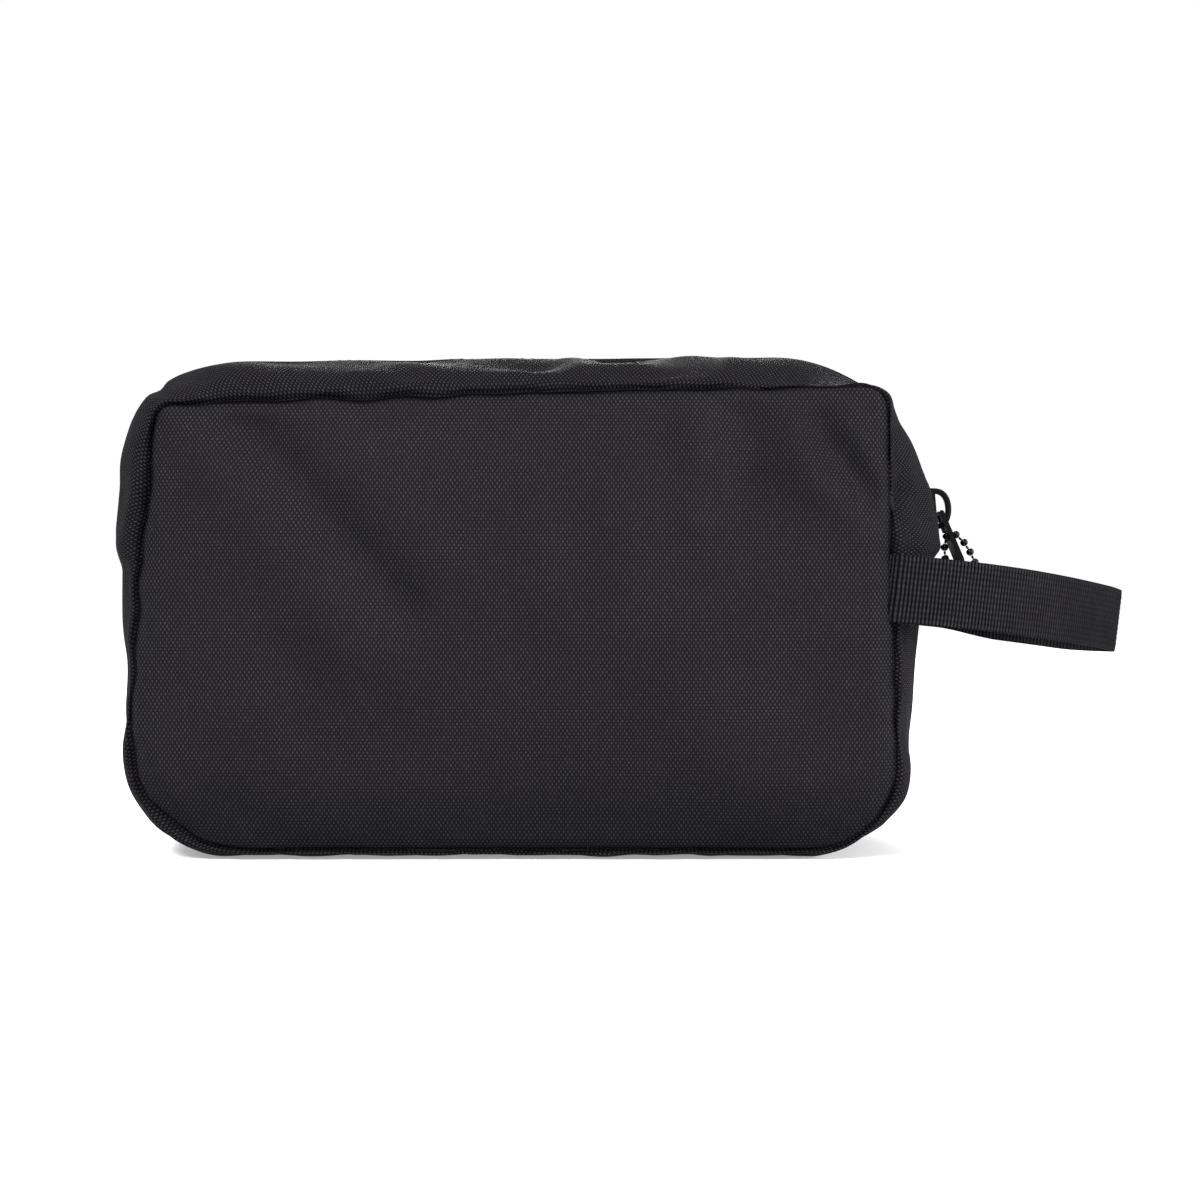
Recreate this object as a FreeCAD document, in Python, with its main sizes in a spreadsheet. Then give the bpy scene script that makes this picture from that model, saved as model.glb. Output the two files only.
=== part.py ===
"""Soft toiletry bag with a wrap-round zip, a side webbing loop to hang it by and a ball chain on its zip pull.

Row frame, in millimetres: +X towards the webbing loop, -Y out of the rear panel, +Z up, origin at the middle
of the flat base. The bag's wall is a tube round the Y axis: at the two seams it has the seam outline, and
between the shoulders it has the wider crest outline, which the zip follows over the top.
"""
import FreeCAD, Part
import math
import os
import Sketcher

DIMENSIONS = [
    # alias, value in mm or degrees, what it is
    ("crest_left", 127.0, "left reach of the bulged wall between the shoulders"),
    ("crest_right", 126.0, "right reach of the bulged wall between the shoulders"),
    ("crest_top", 149.0, "height of the bulged wall"),
    ("crest_base", 0.0, "the flat base"),
    ("crest_round_top_left", 33.0, "outer corner radius"),
    ("crest_round_top_right", 50.0, "outer corner radius, which the slider runs round"),
    ("crest_round_base_left", 34.0, "outer corner radius"),
    ("crest_round_base_right", 30.0, "outer corner radius"),
    ("seam_left", 107.0, "left reach of the sewn panel edge"),
    ("seam_right", 105.0, "right reach of the sewn panel edge"),
    ("seam_top", 132.5, "height of the sewn panel edge"),
    ("seam_base", 4.0, "lowest point of the sewn panel edge"),
    ("seam_round_top_left", 10.0, "panel corner radius"),
    ("seam_round_top_right", 12.0, "panel corner radius"),
    ("seam_round_base_left", 22.0, "panel corner radius"),
    ("seam_round_base_right", 20.0, "panel corner radius"),
    ("crown_inset", 30.0, "how far inside the seam the panel's flat crown starts"),
    ("crown_round", 6.0, "corner radius of the crown"),
    ("seam_depth", 40.0, "half the distance between the two panel seams"),
    ("shoulder_depth", 22.0, "half the width of the bulged wall"),
    ("crown_depth", 47.0, "half the depth of the bag at the panel crowns"),
    ("shell_wall", 1.0, "outer fabric"),
    ("lining_inset", 1.3, "outside of the wall to the outside of the lining"),
    ("lining_wall", 0.5, "lining"),
    ("binding_inset", 2.2, "outside of the wall to the seam binding"),
    ("binding_width", 6.0, "seam binding, across the seam allowance"),
    ("binding_wall", 1.4, "seam binding round the seam allowance"),
    ("fold_height", 87.0, "height of the zip's ends and of the fold in the front panel"),
    ("fold_gap", 0.4, "space between the folding half and the rest"),
    ("tape_inset", 2.3, "outside of the wall to the outside of the zip tape"),
    ("tape_wall", 0.6, "zip tape"),
    ("tape_near", 3.4, "zip tape's inner edge, from the middle of the zip"),
    ("tape_far", 13.0, "zip tape's outer edge"),
    ("strip_near", 7.0, "edge of the fabric strip beside the zip"),
    ("lining_near", 9.0, "edge of the lining beside the zip"),
    ("coil_inset", 1.7, "outside of the wall to the outside of the zip coil"),
    ("coil_wall", 1.8, "zip coil's thickness"),
    ("coil_near", 0.5, "zip coil's inner edge"),
    ("coil_far", 3.3, "zip coil's outer edge"),
    ("end_tab_rise", 7.0, "fabric tab over each end of the zip"),
    ("end_tab_wall", 0.8, "the tab's thickness"),
    ("park_height", 110.5, "top of the zone where the parked slider covers the zip"),
    ("stop_rise", 1.6, "zip stop"),
    ("slider_angle", 3.6, "parked slider, round the corner from level with its centre"),
    ("slider_length", 12.0, "slider body"),
    ("slider_nose", 9.8, "slider body's width at the nose"),
    ("slider_tail", 8.4, "slider body's width at the tail"),
    ("plate_wall", 1.0, "slider's upper and lower plates"),
    ("plate_inset", 0.1, "outside of the wall to the upper plate"),
    ("channel", 3.0, "space between the slider's plates"),
    ("flange_wall", 0.7, "slider's side flanges"),
    ("flange_reach", 0.5, "how far each flange reaches into the channel"),
    ("post_width", 0.7, "slider's post between the two coils"),
    ("post_length", 3.0, "the post, along the zip"),
    ("crown_length", 11.6, "bridge over the slider"),
    ("crown_height", 5.0, "bridge above the upper plate"),
    ("crown_bar", 1.9, "thickness of the bridge"),
    ("crown_width", 2.6, "width of the bridge"),
    ("crown_bend", 2.8, "cut-off corner of the bridge"),
    ("crown_inner_bend", 1.2, "cut-off corner of the opening under the bridge"),
    ("spring_wall", 0.3, "leaf spring under the bridge"),
    ("spring_width", 1.4, "leaf spring"),
    ("spring_length", 7.2, "leaf spring, along the zip"),
    ("pivot_across", 127.7, "pull tab's pivot, from the middle of the bag"),
    ("pivot_height", 101.5, "pull tab's pivot, above the base"),
    ("pivot_bar", 1.6, "diameter of the pull tab's pivot bar"),
    ("tab_lean", 22.7, "pull tab, out from hanging straight down"),
    ("tab_width", 8.0, "pull tab"),
    ("tab_length", 17.0, "pull tab, from its pivot"),
    ("tab_wall", 1.6, "pull tab's thickness"),
    ("window_width", 3.8, "opening in the pull tab"),
    ("window_length", 9.0, "opening in the pull tab, from its pivot"),
    ("loop_rise", 14.5, "half the height of the ball chain's loop"),
    ("loop_out", 5.6, "outer half of the loop's width"),
    ("loop_in", 4.2, "inner half of the loop's width"),
    ("loop_slope", 0.26, "sideways lean of the loop over its height"),
    ("loop_across", 131.1, "top of the loop, from the middle of the bag"),
    ("loop_top", 95.4, "top of the loop, above the base"),
    ("ball_radius", 1.2, "bead of the ball chain"),
    ("link_radius", 0.35, "wire between two beads"),
    ("clasp_radius", 1.6, "outer radius of the chain's clasp"),
    ("strap_width", 20.0, "webbing"),
    ("strap_wall", 1.4, "webbing's thickness"),
    ("strap_height", 78.0, "middle of the webbing where it is sewn in"),
    ("strap_root", 105.0, "webbing's sewn ends, from the middle of the bag"),
    ("strap_depth", 42.0, "webbing's sewn ends, from the zip"),
    ("strap_straight", 6.0, "webbing before its first bend"),
    ("strap_bend", 40.0, "radius of the webbing's first bend"),
    ("strap_reach", 76.0, "webbing's sewn ends to the centre of its fold"),
    ("strap_tip_depth", 7.5, "centre of the webbing's fold, in front of the zip"),
    ("strap_fold", 2.0, "radius of the webbing's fold"),
    ("strap_droop", 7.5, "how far the loop hangs below level"),
]
BEADS = 19
CLASP_BEAD = 12

doc = FreeCAD.newDocument("toiletry_bag")
sheet = doc.addObject("Spreadsheet::Sheet", "Dims")
for row, (alias, value, meaning) in enumerate(DIMENSIONS, start=1):
    sheet.set(f"A{row}", meaning)
    sheet.set(f"B{row}", str(value))
    sheet.setAlias(f"B{row}", alias)
doc.recompute()
nodes = []


def number(expression):
    """The value of an expression over the spreadsheet's cells."""
    value = sheet.evalExpression(expression.replace("Dims.", ""))
    return float(getattr(value, "Value", value))


def bind(item, name, expression):
    """Binds one property to the spreadsheet."""
    item.setExpression(name, expression)


def node(item, label):
    """Marks an object as a sub-part of the bag, under the name that it is exported by."""
    item.Label = label
    nodes.append(item)
    return item


# ---------------------------------------------------------------- sketches


def plane(body, role):
    """One of the body's own origin planes."""
    return next(f for f in body.Origin.OriginFeatures if f.Role == role)


def new_sketch(body, name, role, offset="0"):
    """A sketch on an origin plane of its body, moved along the plane's normal."""
    sketch = body.newObject("Sketcher::SketchObject", name)
    sketch.AttachmentSupport = (plane(body, role), [""])
    sketch.MapMode = "FlatFace"
    bind(sketch, ".AttachmentOffset.Base.z", offset)
    return sketch


def pin(sketch, shape, end, across, up):
    """Fixes one point of a sketch at two distances from the sketch's origin."""
    for kind, expression, axis in (("DistanceX", across, -2), ("DistanceY", up, -1)):
        size = number(expression)
        if abs(size) < 1e-9:
            sketch.addConstraint(Sketcher.Constraint("PointOnObject", shape, end, axis))
        elif size > 0:
            made = sketch.addConstraint(Sketcher.Constraint(kind, -1, 1, shape, end, size))
            bind(sketch, f"Constraints[{made}]", expression)
        else:
            made = sketch.addConstraint(Sketcher.Constraint(kind, shape, end, -1, 1, -size))
            bind(sketch, f"Constraints[{made}]", f"-({expression})")


def vector(across, up):
    return FreeCAD.Vector(number(across), number(up), 0)


def polygon(sketch, corners):
    """A closed polygon, each corner bound to two expressions."""
    count = len(corners)
    for i, corner in enumerate(corners):
        after = corners[(i + 1) % count]
        sketch.addGeometry(Part.LineSegment(vector(*corner), vector(*after)), False)
    for i, corner in enumerate(corners):
        before = (i - 1) % count
        sketch.addConstraint(Sketcher.Constraint("Coincident", before, 2, i, 1))
        pin(sketch, i, 1, *corner)


def rectangle(sketch, low_across, high_across, low_up, high_up):
    corners = [(low_across, low_up), (high_across, low_up), (high_across, high_up), (low_across, high_up)]
    polygon(sketch, corners)


def outline(sketch, family, inset="0", rounds=None):
    """The seam or crest outline, inset all round: four sides and four corner arcs."""
    left = f"-(Dims.{family}_left - {inset})"
    right = f"Dims.{family}_right - {inset}"
    top = f"Dims.{family}_top - {inset}"
    base = f"Dims.{family}_base + {inset}"
    radius = {
        corner: rounds or f"Dims.{family}_round_{corner} - {inset}"
        for corner in ("top_left", "top_right", "base_left", "base_right")
    }
    sides = [
        ((f"{left} + {radius['top_left']}", top), (f"{right} - ({radius['top_right']})", top)),
        ((right, f"{top} - ({radius['top_right']})"), (right, f"{base} + {radius['base_right']}")),
        ((f"{right} - ({radius['base_right']})", base), (f"{left} + {radius['base_left']}", base)),
        ((left, f"{base} + {radius['base_left']}"), (left, f"{top} - ({radius['top_left']})")),
    ]
    centres = [
        (sides[0][1][0], sides[1][0][1], "top_right"),
        (sides[2][0][0], sides[1][1][1], "base_right"),
        (sides[2][1][0], sides[3][0][1], "base_left"),
        (sides[0][0][0], sides[3][1][1], "top_left"),
    ]
    first = sketch.GeometryCount
    for start, end in sides:
        made = sketch.addGeometry(Part.LineSegment(vector(*start), vector(*end)), False)
        pin(sketch, made, 1, *start)
        pin(sketch, made, 2, *end)
    for i, (across, up, corner) in enumerate(centres):
        size = number(radius[corner])
        circle = Part.Circle(vector(across, up), FreeCAD.Vector(0, 0, 1), size)
        start = math.pi / 2 * (4 - i)
        made = sketch.addGeometry(Part.ArcOfCircle(circle, start, start + math.pi / 2), False)
        sketch.addConstraint(Sketcher.Constraint("Coincident", made, 2, first + i, 2))
        sketch.addConstraint(Sketcher.Constraint("Coincident", made, 1, first + (i + 1) % 4, 1))
        held = sketch.addConstraint(Sketcher.Constraint("Radius", made, size))
        bind(sketch, f"Constraints[{held}]", radius[corner])


# ---------------------------------------------------------------- solids


def new_body(name):
    return doc.addObject("PartDesign::Body", name)


def pad(body, sketch, length, both_ways=False, backwards=False):
    feature = body.newObject("PartDesign::Pad", sketch.Name + "_pad")
    feature.Profile = sketch
    feature.Midplane = both_ways
    feature.Reversed = backwards
    bind(feature, "Length", length)
    return feature


def pocket_through(body, sketch):
    """Cuts the sketch through the whole body, both ways."""
    feature = body.newObject("PartDesign::Pocket", sketch.Name + "_pocket")
    feature.Profile = sketch
    feature.Type = "ThroughAll"
    feature.Midplane = True
    return feature


def loft(body, kind, sections):
    feature = body.newObject(f"PartDesign::{kind}", kind)
    feature.Profile = sections[0]
    feature.Sections = sections[1:]
    feature.Ruled = True
    return feature


def tube(name, outside, inside):
    """The bag's wall between the two panel seams, from one inset of the outlines to another."""
    body = new_body(name)
    for kind, inset in (("AdditiveLoft", outside), ("SubtractiveLoft", inside)):
        sections = []
        for i, (family, depth) in enumerate((
            ("seam", "Dims.seam_depth"),
            ("crest", "Dims.shoulder_depth"),
            ("crest", "-Dims.shoulder_depth"),
            ("seam", "-Dims.seam_depth"),
        )):
            sketch = new_sketch(body, f"{name}_{kind}_{i}", "XZ_Plane", depth)
            outline(sketch, family, inset)
            sections.append(sketch)
        loft(body, kind, sections)
    return body


def box(name, across, deep, up):
    """A box between three pairs of expressions, used to divide a tube."""
    item = doc.addObject("Part::Box", name)
    for size, axis, (low, high) in zip(("Length", "Width", "Height"), "xyz", (across, deep, up)):
        bind(item, size, f"({high}) - ({low})")
        bind(item, f".Placement.Base.{axis}", low)
    return item


def common(base, tool, label):
    item = doc.addObject("Part::Common", label)
    item.Base = base
    item.Tool = tool
    return node(item, label)


def cut(base, tool, name):
    item = doc.addObject("Part::Cut", name)
    item.Base = base
    item.Tool = tool
    return item


WIDE = ("-200", "250")
DEEP = ("-80", "80")


def wall_pieces():
    """The outer fabric and the lining round the bag, each cut from one tube at the zip and at its ends."""
    low = ("-10", "Dims.fold_height")
    high = ("Dims.fold_height", "300")
    high_front = ("Dims.fold_height + Dims.fold_gap", "300")
    for layer, outside, edge, names in (
        ("shell", ("0", "Dims.shell_wall"), "Dims.strip_near",
         ("lower_gusset", "zip_strip_rear", "zip_strip_front")),
        ("lining", ("Dims.lining_inset", "(Dims.lining_inset + Dims.lining_wall)"), "Dims.lining_near",
         ("lower_gusset_lining", "zip_strip_lining_rear", "zip_strip_lining_front")),
    ):
        whole = tube(f"{layer}_tube", *outside)
        common(whole, box(f"{layer}_low", WIDE, DEEP, low), names[0])
        common(whole, box(f"{layer}_rear", WIDE, ("-80", f"-{edge}"), high), names[1])
        common(whole, box(f"{layer}_front", WIDE, (edge, "80"), high_front), names[2])


def dome(name, side, outside, inside):
    """A crowned panel: from the seam outline to a smaller flat crown, from one inset to another."""
    body = new_body(name)
    for kind, inset in (("AdditiveLoft", outside), ("SubtractiveLoft", inside)):
        rim = new_sketch(body, f"{name}_{kind}_rim", "XZ_Plane", f"{side} * Dims.seam_depth")
        outline(rim, "seam", inset)
        crown = new_sketch(body, f"{name}_{kind}_crown", "XZ_Plane", f"{side} * (Dims.crown_depth - {inset})")
        outline(crown, "seam", f"(Dims.crown_inset + {inset})", "Dims.crown_round")
        loft(body, kind, [rim, crown])
    return body


def panels():
    """The rear panel, and the front panel in two halves that meet at the fold, each with its lining."""
    for layer, outside, names in (
        ("shell", ("0", "Dims.shell_wall"), ("rear_panel", "front_panel_lower", "front_panel_upper")),
        ("lining", ("Dims.lining_inset", "(Dims.lining_inset + Dims.lining_wall)"),
         ("rear_lining", "front_lining_lower", "front_lining_upper")),
    ):
        node(dome(names[0], "1", *outside), names[0])
        whole = dome(f"{layer}_front", "-1", *outside)
        common(whole, box(f"{layer}_below", WIDE, DEEP, ("-10", "Dims.fold_height")), names[1])
        above = box(f"{layer}_above", WIDE, DEEP, ("Dims.fold_height + Dims.fold_gap", "300"))
        common(whole, above, names[2])


def ring(name, family, outside, inside, near, thickness):
    """A band that follows an outline: its nearest depth along -Y first, then its width back towards +Y."""
    body = new_body(name)
    sketch = new_sketch(body, f"{name}_ring", "XZ_Plane", near)
    outline(sketch, family, outside)
    outline(sketch, family, inside)
    pad(body, sketch, thickness, backwards=True)
    return body


def seam_bindings():
    """Bias tape round the seam allowances inside the bag, a loop a seam, the front one parted at the fold."""
    inside = "(Dims.binding_inset + Dims.binding_width)"
    depth = "Dims.seam_depth - 0.2"
    node(ring("seam_binding_rear", "seam", "Dims.binding_inset", inside, depth, "Dims.binding_wall"),
         "seam_binding_rear")
    whole = ring("binding_front", "seam", "Dims.binding_inset", inside, f"-({depth}) + Dims.binding_wall",
                 "Dims.binding_wall")
    common(whole, box("binding_below", WIDE, DEEP, ("-10", "Dims.fold_height")), "seam_binding_front_lower")
    common(whole, box("binding_above", WIDE, DEEP, ("Dims.fold_height + Dims.fold_gap", "300")),
           "seam_binding_front_upper")


def zip_halves():
    """Tape and coil on each side of the zip. The front ones leave room for the end tabs and the slider."""
    tab_top = "(Dims.fold_height + Dims.end_tab_rise + Dims.fold_gap)"
    for part, wall, near, far in (
        ("tape", "Dims.tape_wall", "Dims.tape_near", "Dims.tape_far"),
        ("coil", "Dims.coil_wall", "Dims.coil_near", "Dims.coil_far"),
    ):
        outside = f"Dims.{part}_inset"
        inside = f"(Dims.{part}_inset + {wall})"
        start = "Dims.fold_height" if part == "tape" else tab_top
        rear = ring(f"{part}_ring_rear", "crest", outside, inside, far, f"{far} - {near}")
        common(rear, box(f"{part}_rear_zone", WIDE, DEEP, (start, "300")), f"zip_{part}_rear")
        front = ring(f"{part}_ring_front", "crest", outside, inside, f"-{near}", f"{far} - {near}")
        kept = "(Dims.fold_height + Dims.fold_gap)" if part == "tape" else tab_top
        zone = box(f"{part}_front_zone", WIDE, DEEP, (kept, "300"))
        left_tab = box(f"{part}_left_tab", ("-200", "0"), ("-8", "Dims.strip_near"), ("0", tab_top))
        parked = box(f"{part}_parked", ("0", "200"), ("-8", "Dims.strip_near"), ("0", "Dims.park_height"))
        open_zone = cut(cut(zone, left_tab, f"{part}_zone_left"), parked, f"{part}_zone_parked")
        common(front, open_zone, f"zip_{part}_front")


def zip_ends():
    """A fabric tab folded over the tapes at each end of the zip, and a crimped stop above each tab."""
    for side, sign, reach in (("left", "-1", "Dims.crest_left"), ("right", "1", "Dims.crest_right")):
        outer = f"{sign} * ({reach} - Dims.tape_inset)"
        over = f"{sign} * ({reach} - Dims.tape_inset + Dims.end_tab_wall)"
        across = (outer, over) if sign == "1" else (over, outer)
        node(
            box(f"zip_end_tab_{side}", across, ("-(Dims.strip_near - 0.3)", "Dims.strip_near - 0.3"),
                ("Dims.fold_height", "Dims.fold_height + Dims.end_tab_rise")),
            f"zip_end_tab_{side}",
        )
    stops = []
    for side, sign, reach in (("left", "-1", "Dims.crest_left"), ("right", "1", "Dims.crest_right")):
        inner = f"{sign} * ({reach} - Dims.coil_inset - Dims.coil_wall)"
        outer = f"{sign} * ({reach} - Dims.coil_inset)"
        across = (inner, outer) if sign == "1" else (outer, inner)
        low = "Dims.fold_height + Dims.end_tab_rise"
        stops.append(
            box(f"stop_{side}", across, ("-(Dims.tape_near - 0.2)", "Dims.coil_near + 2.2"),
                (f"{low} - Dims.stop_rise", f"{low} - 0.1"))
        )
    tabs = [item for item in nodes if item.Label.startswith("zip_end_tab")]
    group = doc.addObject("Part::Compound", "stop_group")
    group.Links = [cut(stop, tab, f"{stop.Name}_trimmed") for stop, tab in zip(stops, tabs)]
    node(group, "zip_stops")


# ---------------------------------------------------------------- slider, pull tab and chain


def turned(item, across, height, degrees):
    """Turns an object about a line along Y, from +X towards +Z."""
    centre = FreeCAD.Vector(number(across), 0, number(height))
    turn = FreeCAD.Rotation(FreeCAD.Vector(0, -1, 0), degrees)
    item.Placement = FreeCAD.Placement(FreeCAD.Vector(), turn, centre)
    return item


ARC_ACROSS = "(Dims.crest_right - Dims.crest_round_top_right)"
ARC_HEIGHT = "(Dims.crest_top - Dims.crest_round_top_right)"


def slider():
    """The slider, drawn level with the centre of the corner that it runs round, then turned to its place.

    Its nose, where the two coils part, points down at the stop, and its tail points up the closed zip.
    """
    level = ARC_HEIGHT
    tail, nose = f"{level} + Dims.slider_length / 2", f"{level} - Dims.slider_length / 2"
    upper = "(Dims.crest_right - Dims.plate_inset)"
    lower = f"({upper} - Dims.plate_wall - Dims.channel)"
    half_nose, half_tail = "Dims.slider_nose / 2", "Dims.slider_tail / 2"
    shield = [
        (f"-{half_tail}", tail), (half_tail, tail), (half_nose, f"{level} - 1"), (half_nose, f"{nose} + 2.4"),
        (f"{half_nose} - 1.8", nose), (f"-({half_nose} - 1.8)", nose), (f"-{half_nose}", f"{nose} + 2.4"),
        (f"-{half_nose}", f"{level} - 1"),
    ]
    body = new_body("slider_blank")
    sketch = new_sketch(body, "upper_plate", "YZ_Plane", f"{upper} - Dims.plate_wall")
    polygon(sketch, shield)
    pad(body, sketch, "Dims.plate_wall")
    post = new_sketch(body, "post", "YZ_Plane", lower)
    rectangle(post, "-Dims.post_width / 2", "Dims.post_width / 2", nose, f"{nose} + Dims.post_length")
    pad(body, post, "Dims.channel")
    sketch = new_sketch(body, "lower_plate", "YZ_Plane", f"{lower} - Dims.plate_wall")
    polygon(sketch, shield)
    pad(body, sketch, "Dims.plate_wall")
    for side in ("-1", "1"):
        edge = f"{side} * Dims.slider_tail / 2"
        inner = f"{side} * (Dims.slider_tail / 2 - Dims.flange_wall)"
        for base, name in ((lower, "low"), (f"{upper} - Dims.plate_wall - Dims.flange_reach", "high")):
            facing = "rear" if side == "-1" else "front"
            flange = new_sketch(body, f"flange_{name}_{facing}", "YZ_Plane", base)
            rectangle(flange, edge, inner, f"{level} - 1", tail)
            pad(body, flange, "Dims.flange_reach")
    doc.recompute()
    body.Label = "slider_body"
    turned(body, ARC_ACROSS, ARC_HEIGHT, number("slider_angle"))
    nodes.append(body)

    bridge = new_body("slider_crown")
    outer = f"({upper} + Dims.crown_height)"
    profile = new_sketch(bridge, "crown_profile", "XZ_Plane")
    low, high = f"{level} - Dims.crown_length / 2", f"{level} + Dims.crown_length / 2"
    under = f"({outer} - Dims.crown_bar)"
    inner_low, inner_high = f"{low} + Dims.crown_bar", f"{high} - Dims.crown_bar"
    polygon(profile, [
        (upper, low), (f"{outer} - Dims.crown_bend", low), (outer, f"{low} + Dims.crown_bend"),
        (outer, f"{high} - Dims.crown_bend"), (f"{outer} - Dims.crown_bend", high), (upper, high),
        (upper, inner_high), (f"{under} - Dims.crown_inner_bend", inner_high),
        (under, f"{inner_high} - Dims.crown_inner_bend"), (under, f"{inner_low} + Dims.crown_inner_bend"),
        (f"{under} - Dims.crown_inner_bend", inner_low), (upper, inner_low),
    ])
    pad(bridge, profile, "Dims.crown_width", both_ways=True)
    doc.recompute()
    turned(node(bridge, "slider_crown"), ARC_ACROSS, ARC_HEIGHT, number("slider_angle"))

    spring = new_body("slider_lock_spring")
    leaf = new_sketch(spring, "spring_leaf", "YZ_Plane", upper)
    rectangle(leaf, "-Dims.spring_width / 2", "Dims.spring_width / 2", f"{level} - Dims.spring_length / 2",
              f"{level} + Dims.spring_length / 2")
    pad(spring, leaf, "Dims.spring_wall")
    doc.recompute()
    turned(node(spring, "slider_lock_spring"), ARC_ACROSS, ARC_HEIGHT, number("slider_angle"))


def pull_tab():
    """A flat tab with an opening for the bridge and a round pivot bar, drawn straight and then leaned out."""
    body = new_body("pull_tab_blank")
    pivot, level = "Dims.pivot_across", "Dims.pivot_height"
    half = "Dims.tab_width / 2"
    foot = f"{level} - Dims.tab_length"
    plate = new_sketch(body, "tab_plate", "YZ_Plane", f"{pivot} - Dims.tab_wall / 2")
    polygon(plate, [
        (f"-{half} + 1.5", foot), (f"{half} - 1.5", foot), (half, f"{foot} + 1.5"), (f"{half} - 0.6", level),
        (f"-({half} - 0.6)", level), (f"-{half}", f"{foot} + 1.5"),
    ])
    pad(body, plate, "Dims.tab_wall")
    window = new_sketch(body, "tab_window", "YZ_Plane", pivot)
    rectangle(window, "-Dims.window_width / 2", "Dims.window_width / 2", f"{level} - Dims.window_length",
              f"{level} + 1")
    pocket_through(body, window)
    bar = new_sketch(body, "tab_pivot_bar", "XZ_Plane")
    circle = Part.Circle(vector(pivot, level), FreeCAD.Vector(0, 0, 1), number("pivot_bar") / 2)
    made = bar.addGeometry(circle, False)
    pin(bar, made, 3, pivot, level)
    held = bar.addConstraint(Sketcher.Constraint("Radius", made, number("pivot_bar") / 2))
    bind(bar, f"Constraints[{held}]", "Dims.pivot_bar / 2")
    pad(body, bar, "Dims.tab_width - 1.2", both_ways=True)
    doc.recompute()
    turned(node(body, "pull_tab"), pivot, level, number("tab_lean"))


def chain_curve(turn):
    """A point of the chain's loop: an egg shape in the XZ plane, leaning outwards as it goes down."""
    side = math.sin(turn)
    half = number("loop_out") if side > 0 else number("loop_in")
    drop = number("loop_rise") * (1 - math.cos(turn))
    across = number("loop_across") + number("loop_slope") * drop + half * side
    return FreeCAD.Vector(across, 0, number("loop_top") - drop)


def bead_places():
    """Bead centres evenly spaced along the loop, with the first wire through the pull tab's opening."""
    steps = 2000
    points = [chain_curve(2 * math.pi * i / steps) for i in range(steps + 1)]
    along = [0.0]
    for before, after in zip(points, points[1:]):
        along.append(along[-1] + before.distanceToPoint(after))
    places = []
    reached = 0
    for bead in range(BEADS):
        wanted = along[-1] * (bead + 0.5) / BEADS
        while along[reached] < wanted:
            reached += 1
        places.append(points[reached])
    return places


def ball_chain():
    """Hollow beads on short wires, closed into a loop by a clasp that grips one bead."""
    places = bead_places()
    beads, wires = [], []
    for i, place in enumerate(places):
        bead = doc.addObject("Part::Sphere", f"bead_{i}")
        bind(bead, "Radius", "Dims.ball_radius")
        bead.Placement.Base = place
        if i != CLASP_BEAD:
            beads.append(bead)
        after = places[(i + 1) % BEADS]
        along = (after - place).normalize()
        if CLASP_BEAD in (i, (i + 1) % BEADS):
            continue
        wire = doc.addObject("Part::Cylinder", f"wire_{i}")
        bind(wire, "Radius", "Dims.link_radius")
        bind(wire, "Height", f"{(after - place).Length} - 2 * Dims.ball_radius")
        wire.Placement = FreeCAD.Placement(place + along * number("ball_radius"),
                                           FreeCAD.Rotation(FreeCAD.Vector(0, 0, 1), along))
        wires.append(wire)
    for name, members in (("chain_beads", beads), ("chain_wires", wires)):
        group = doc.addObject("Part::Compound", f"{name}_group")
        group.Links = members
        node(group, name)
    before, after = places[CLASP_BEAD - 1], places[(CLASP_BEAD + 1) % BEADS]
    along = (after - before).normalize()
    clasp = doc.addObject("Part::Cylinder", "clasp_blank")
    bind(clasp, "Radius", "Dims.clasp_radius")
    bind(clasp, "Height", f"{(after - before).Length} - 2 * Dims.ball_radius - 0.1")
    clasp.Placement = FreeCAD.Placement(before + along * (number("ball_radius") + 0.05),
                                        FreeCAD.Rotation(FreeCAD.Vector(0, 0, 1), along))
    rounded = doc.addObject("Part::Fillet", "clasp_round")
    rounded.Base = clasp
    doc.recompute()
    rounded.Edges = [(1, 0.5, 0.5), (3, 0.5, 0.5)]
    node(rounded, "chain_clasp")


# ---------------------------------------------------------------- webbing loop


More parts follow.
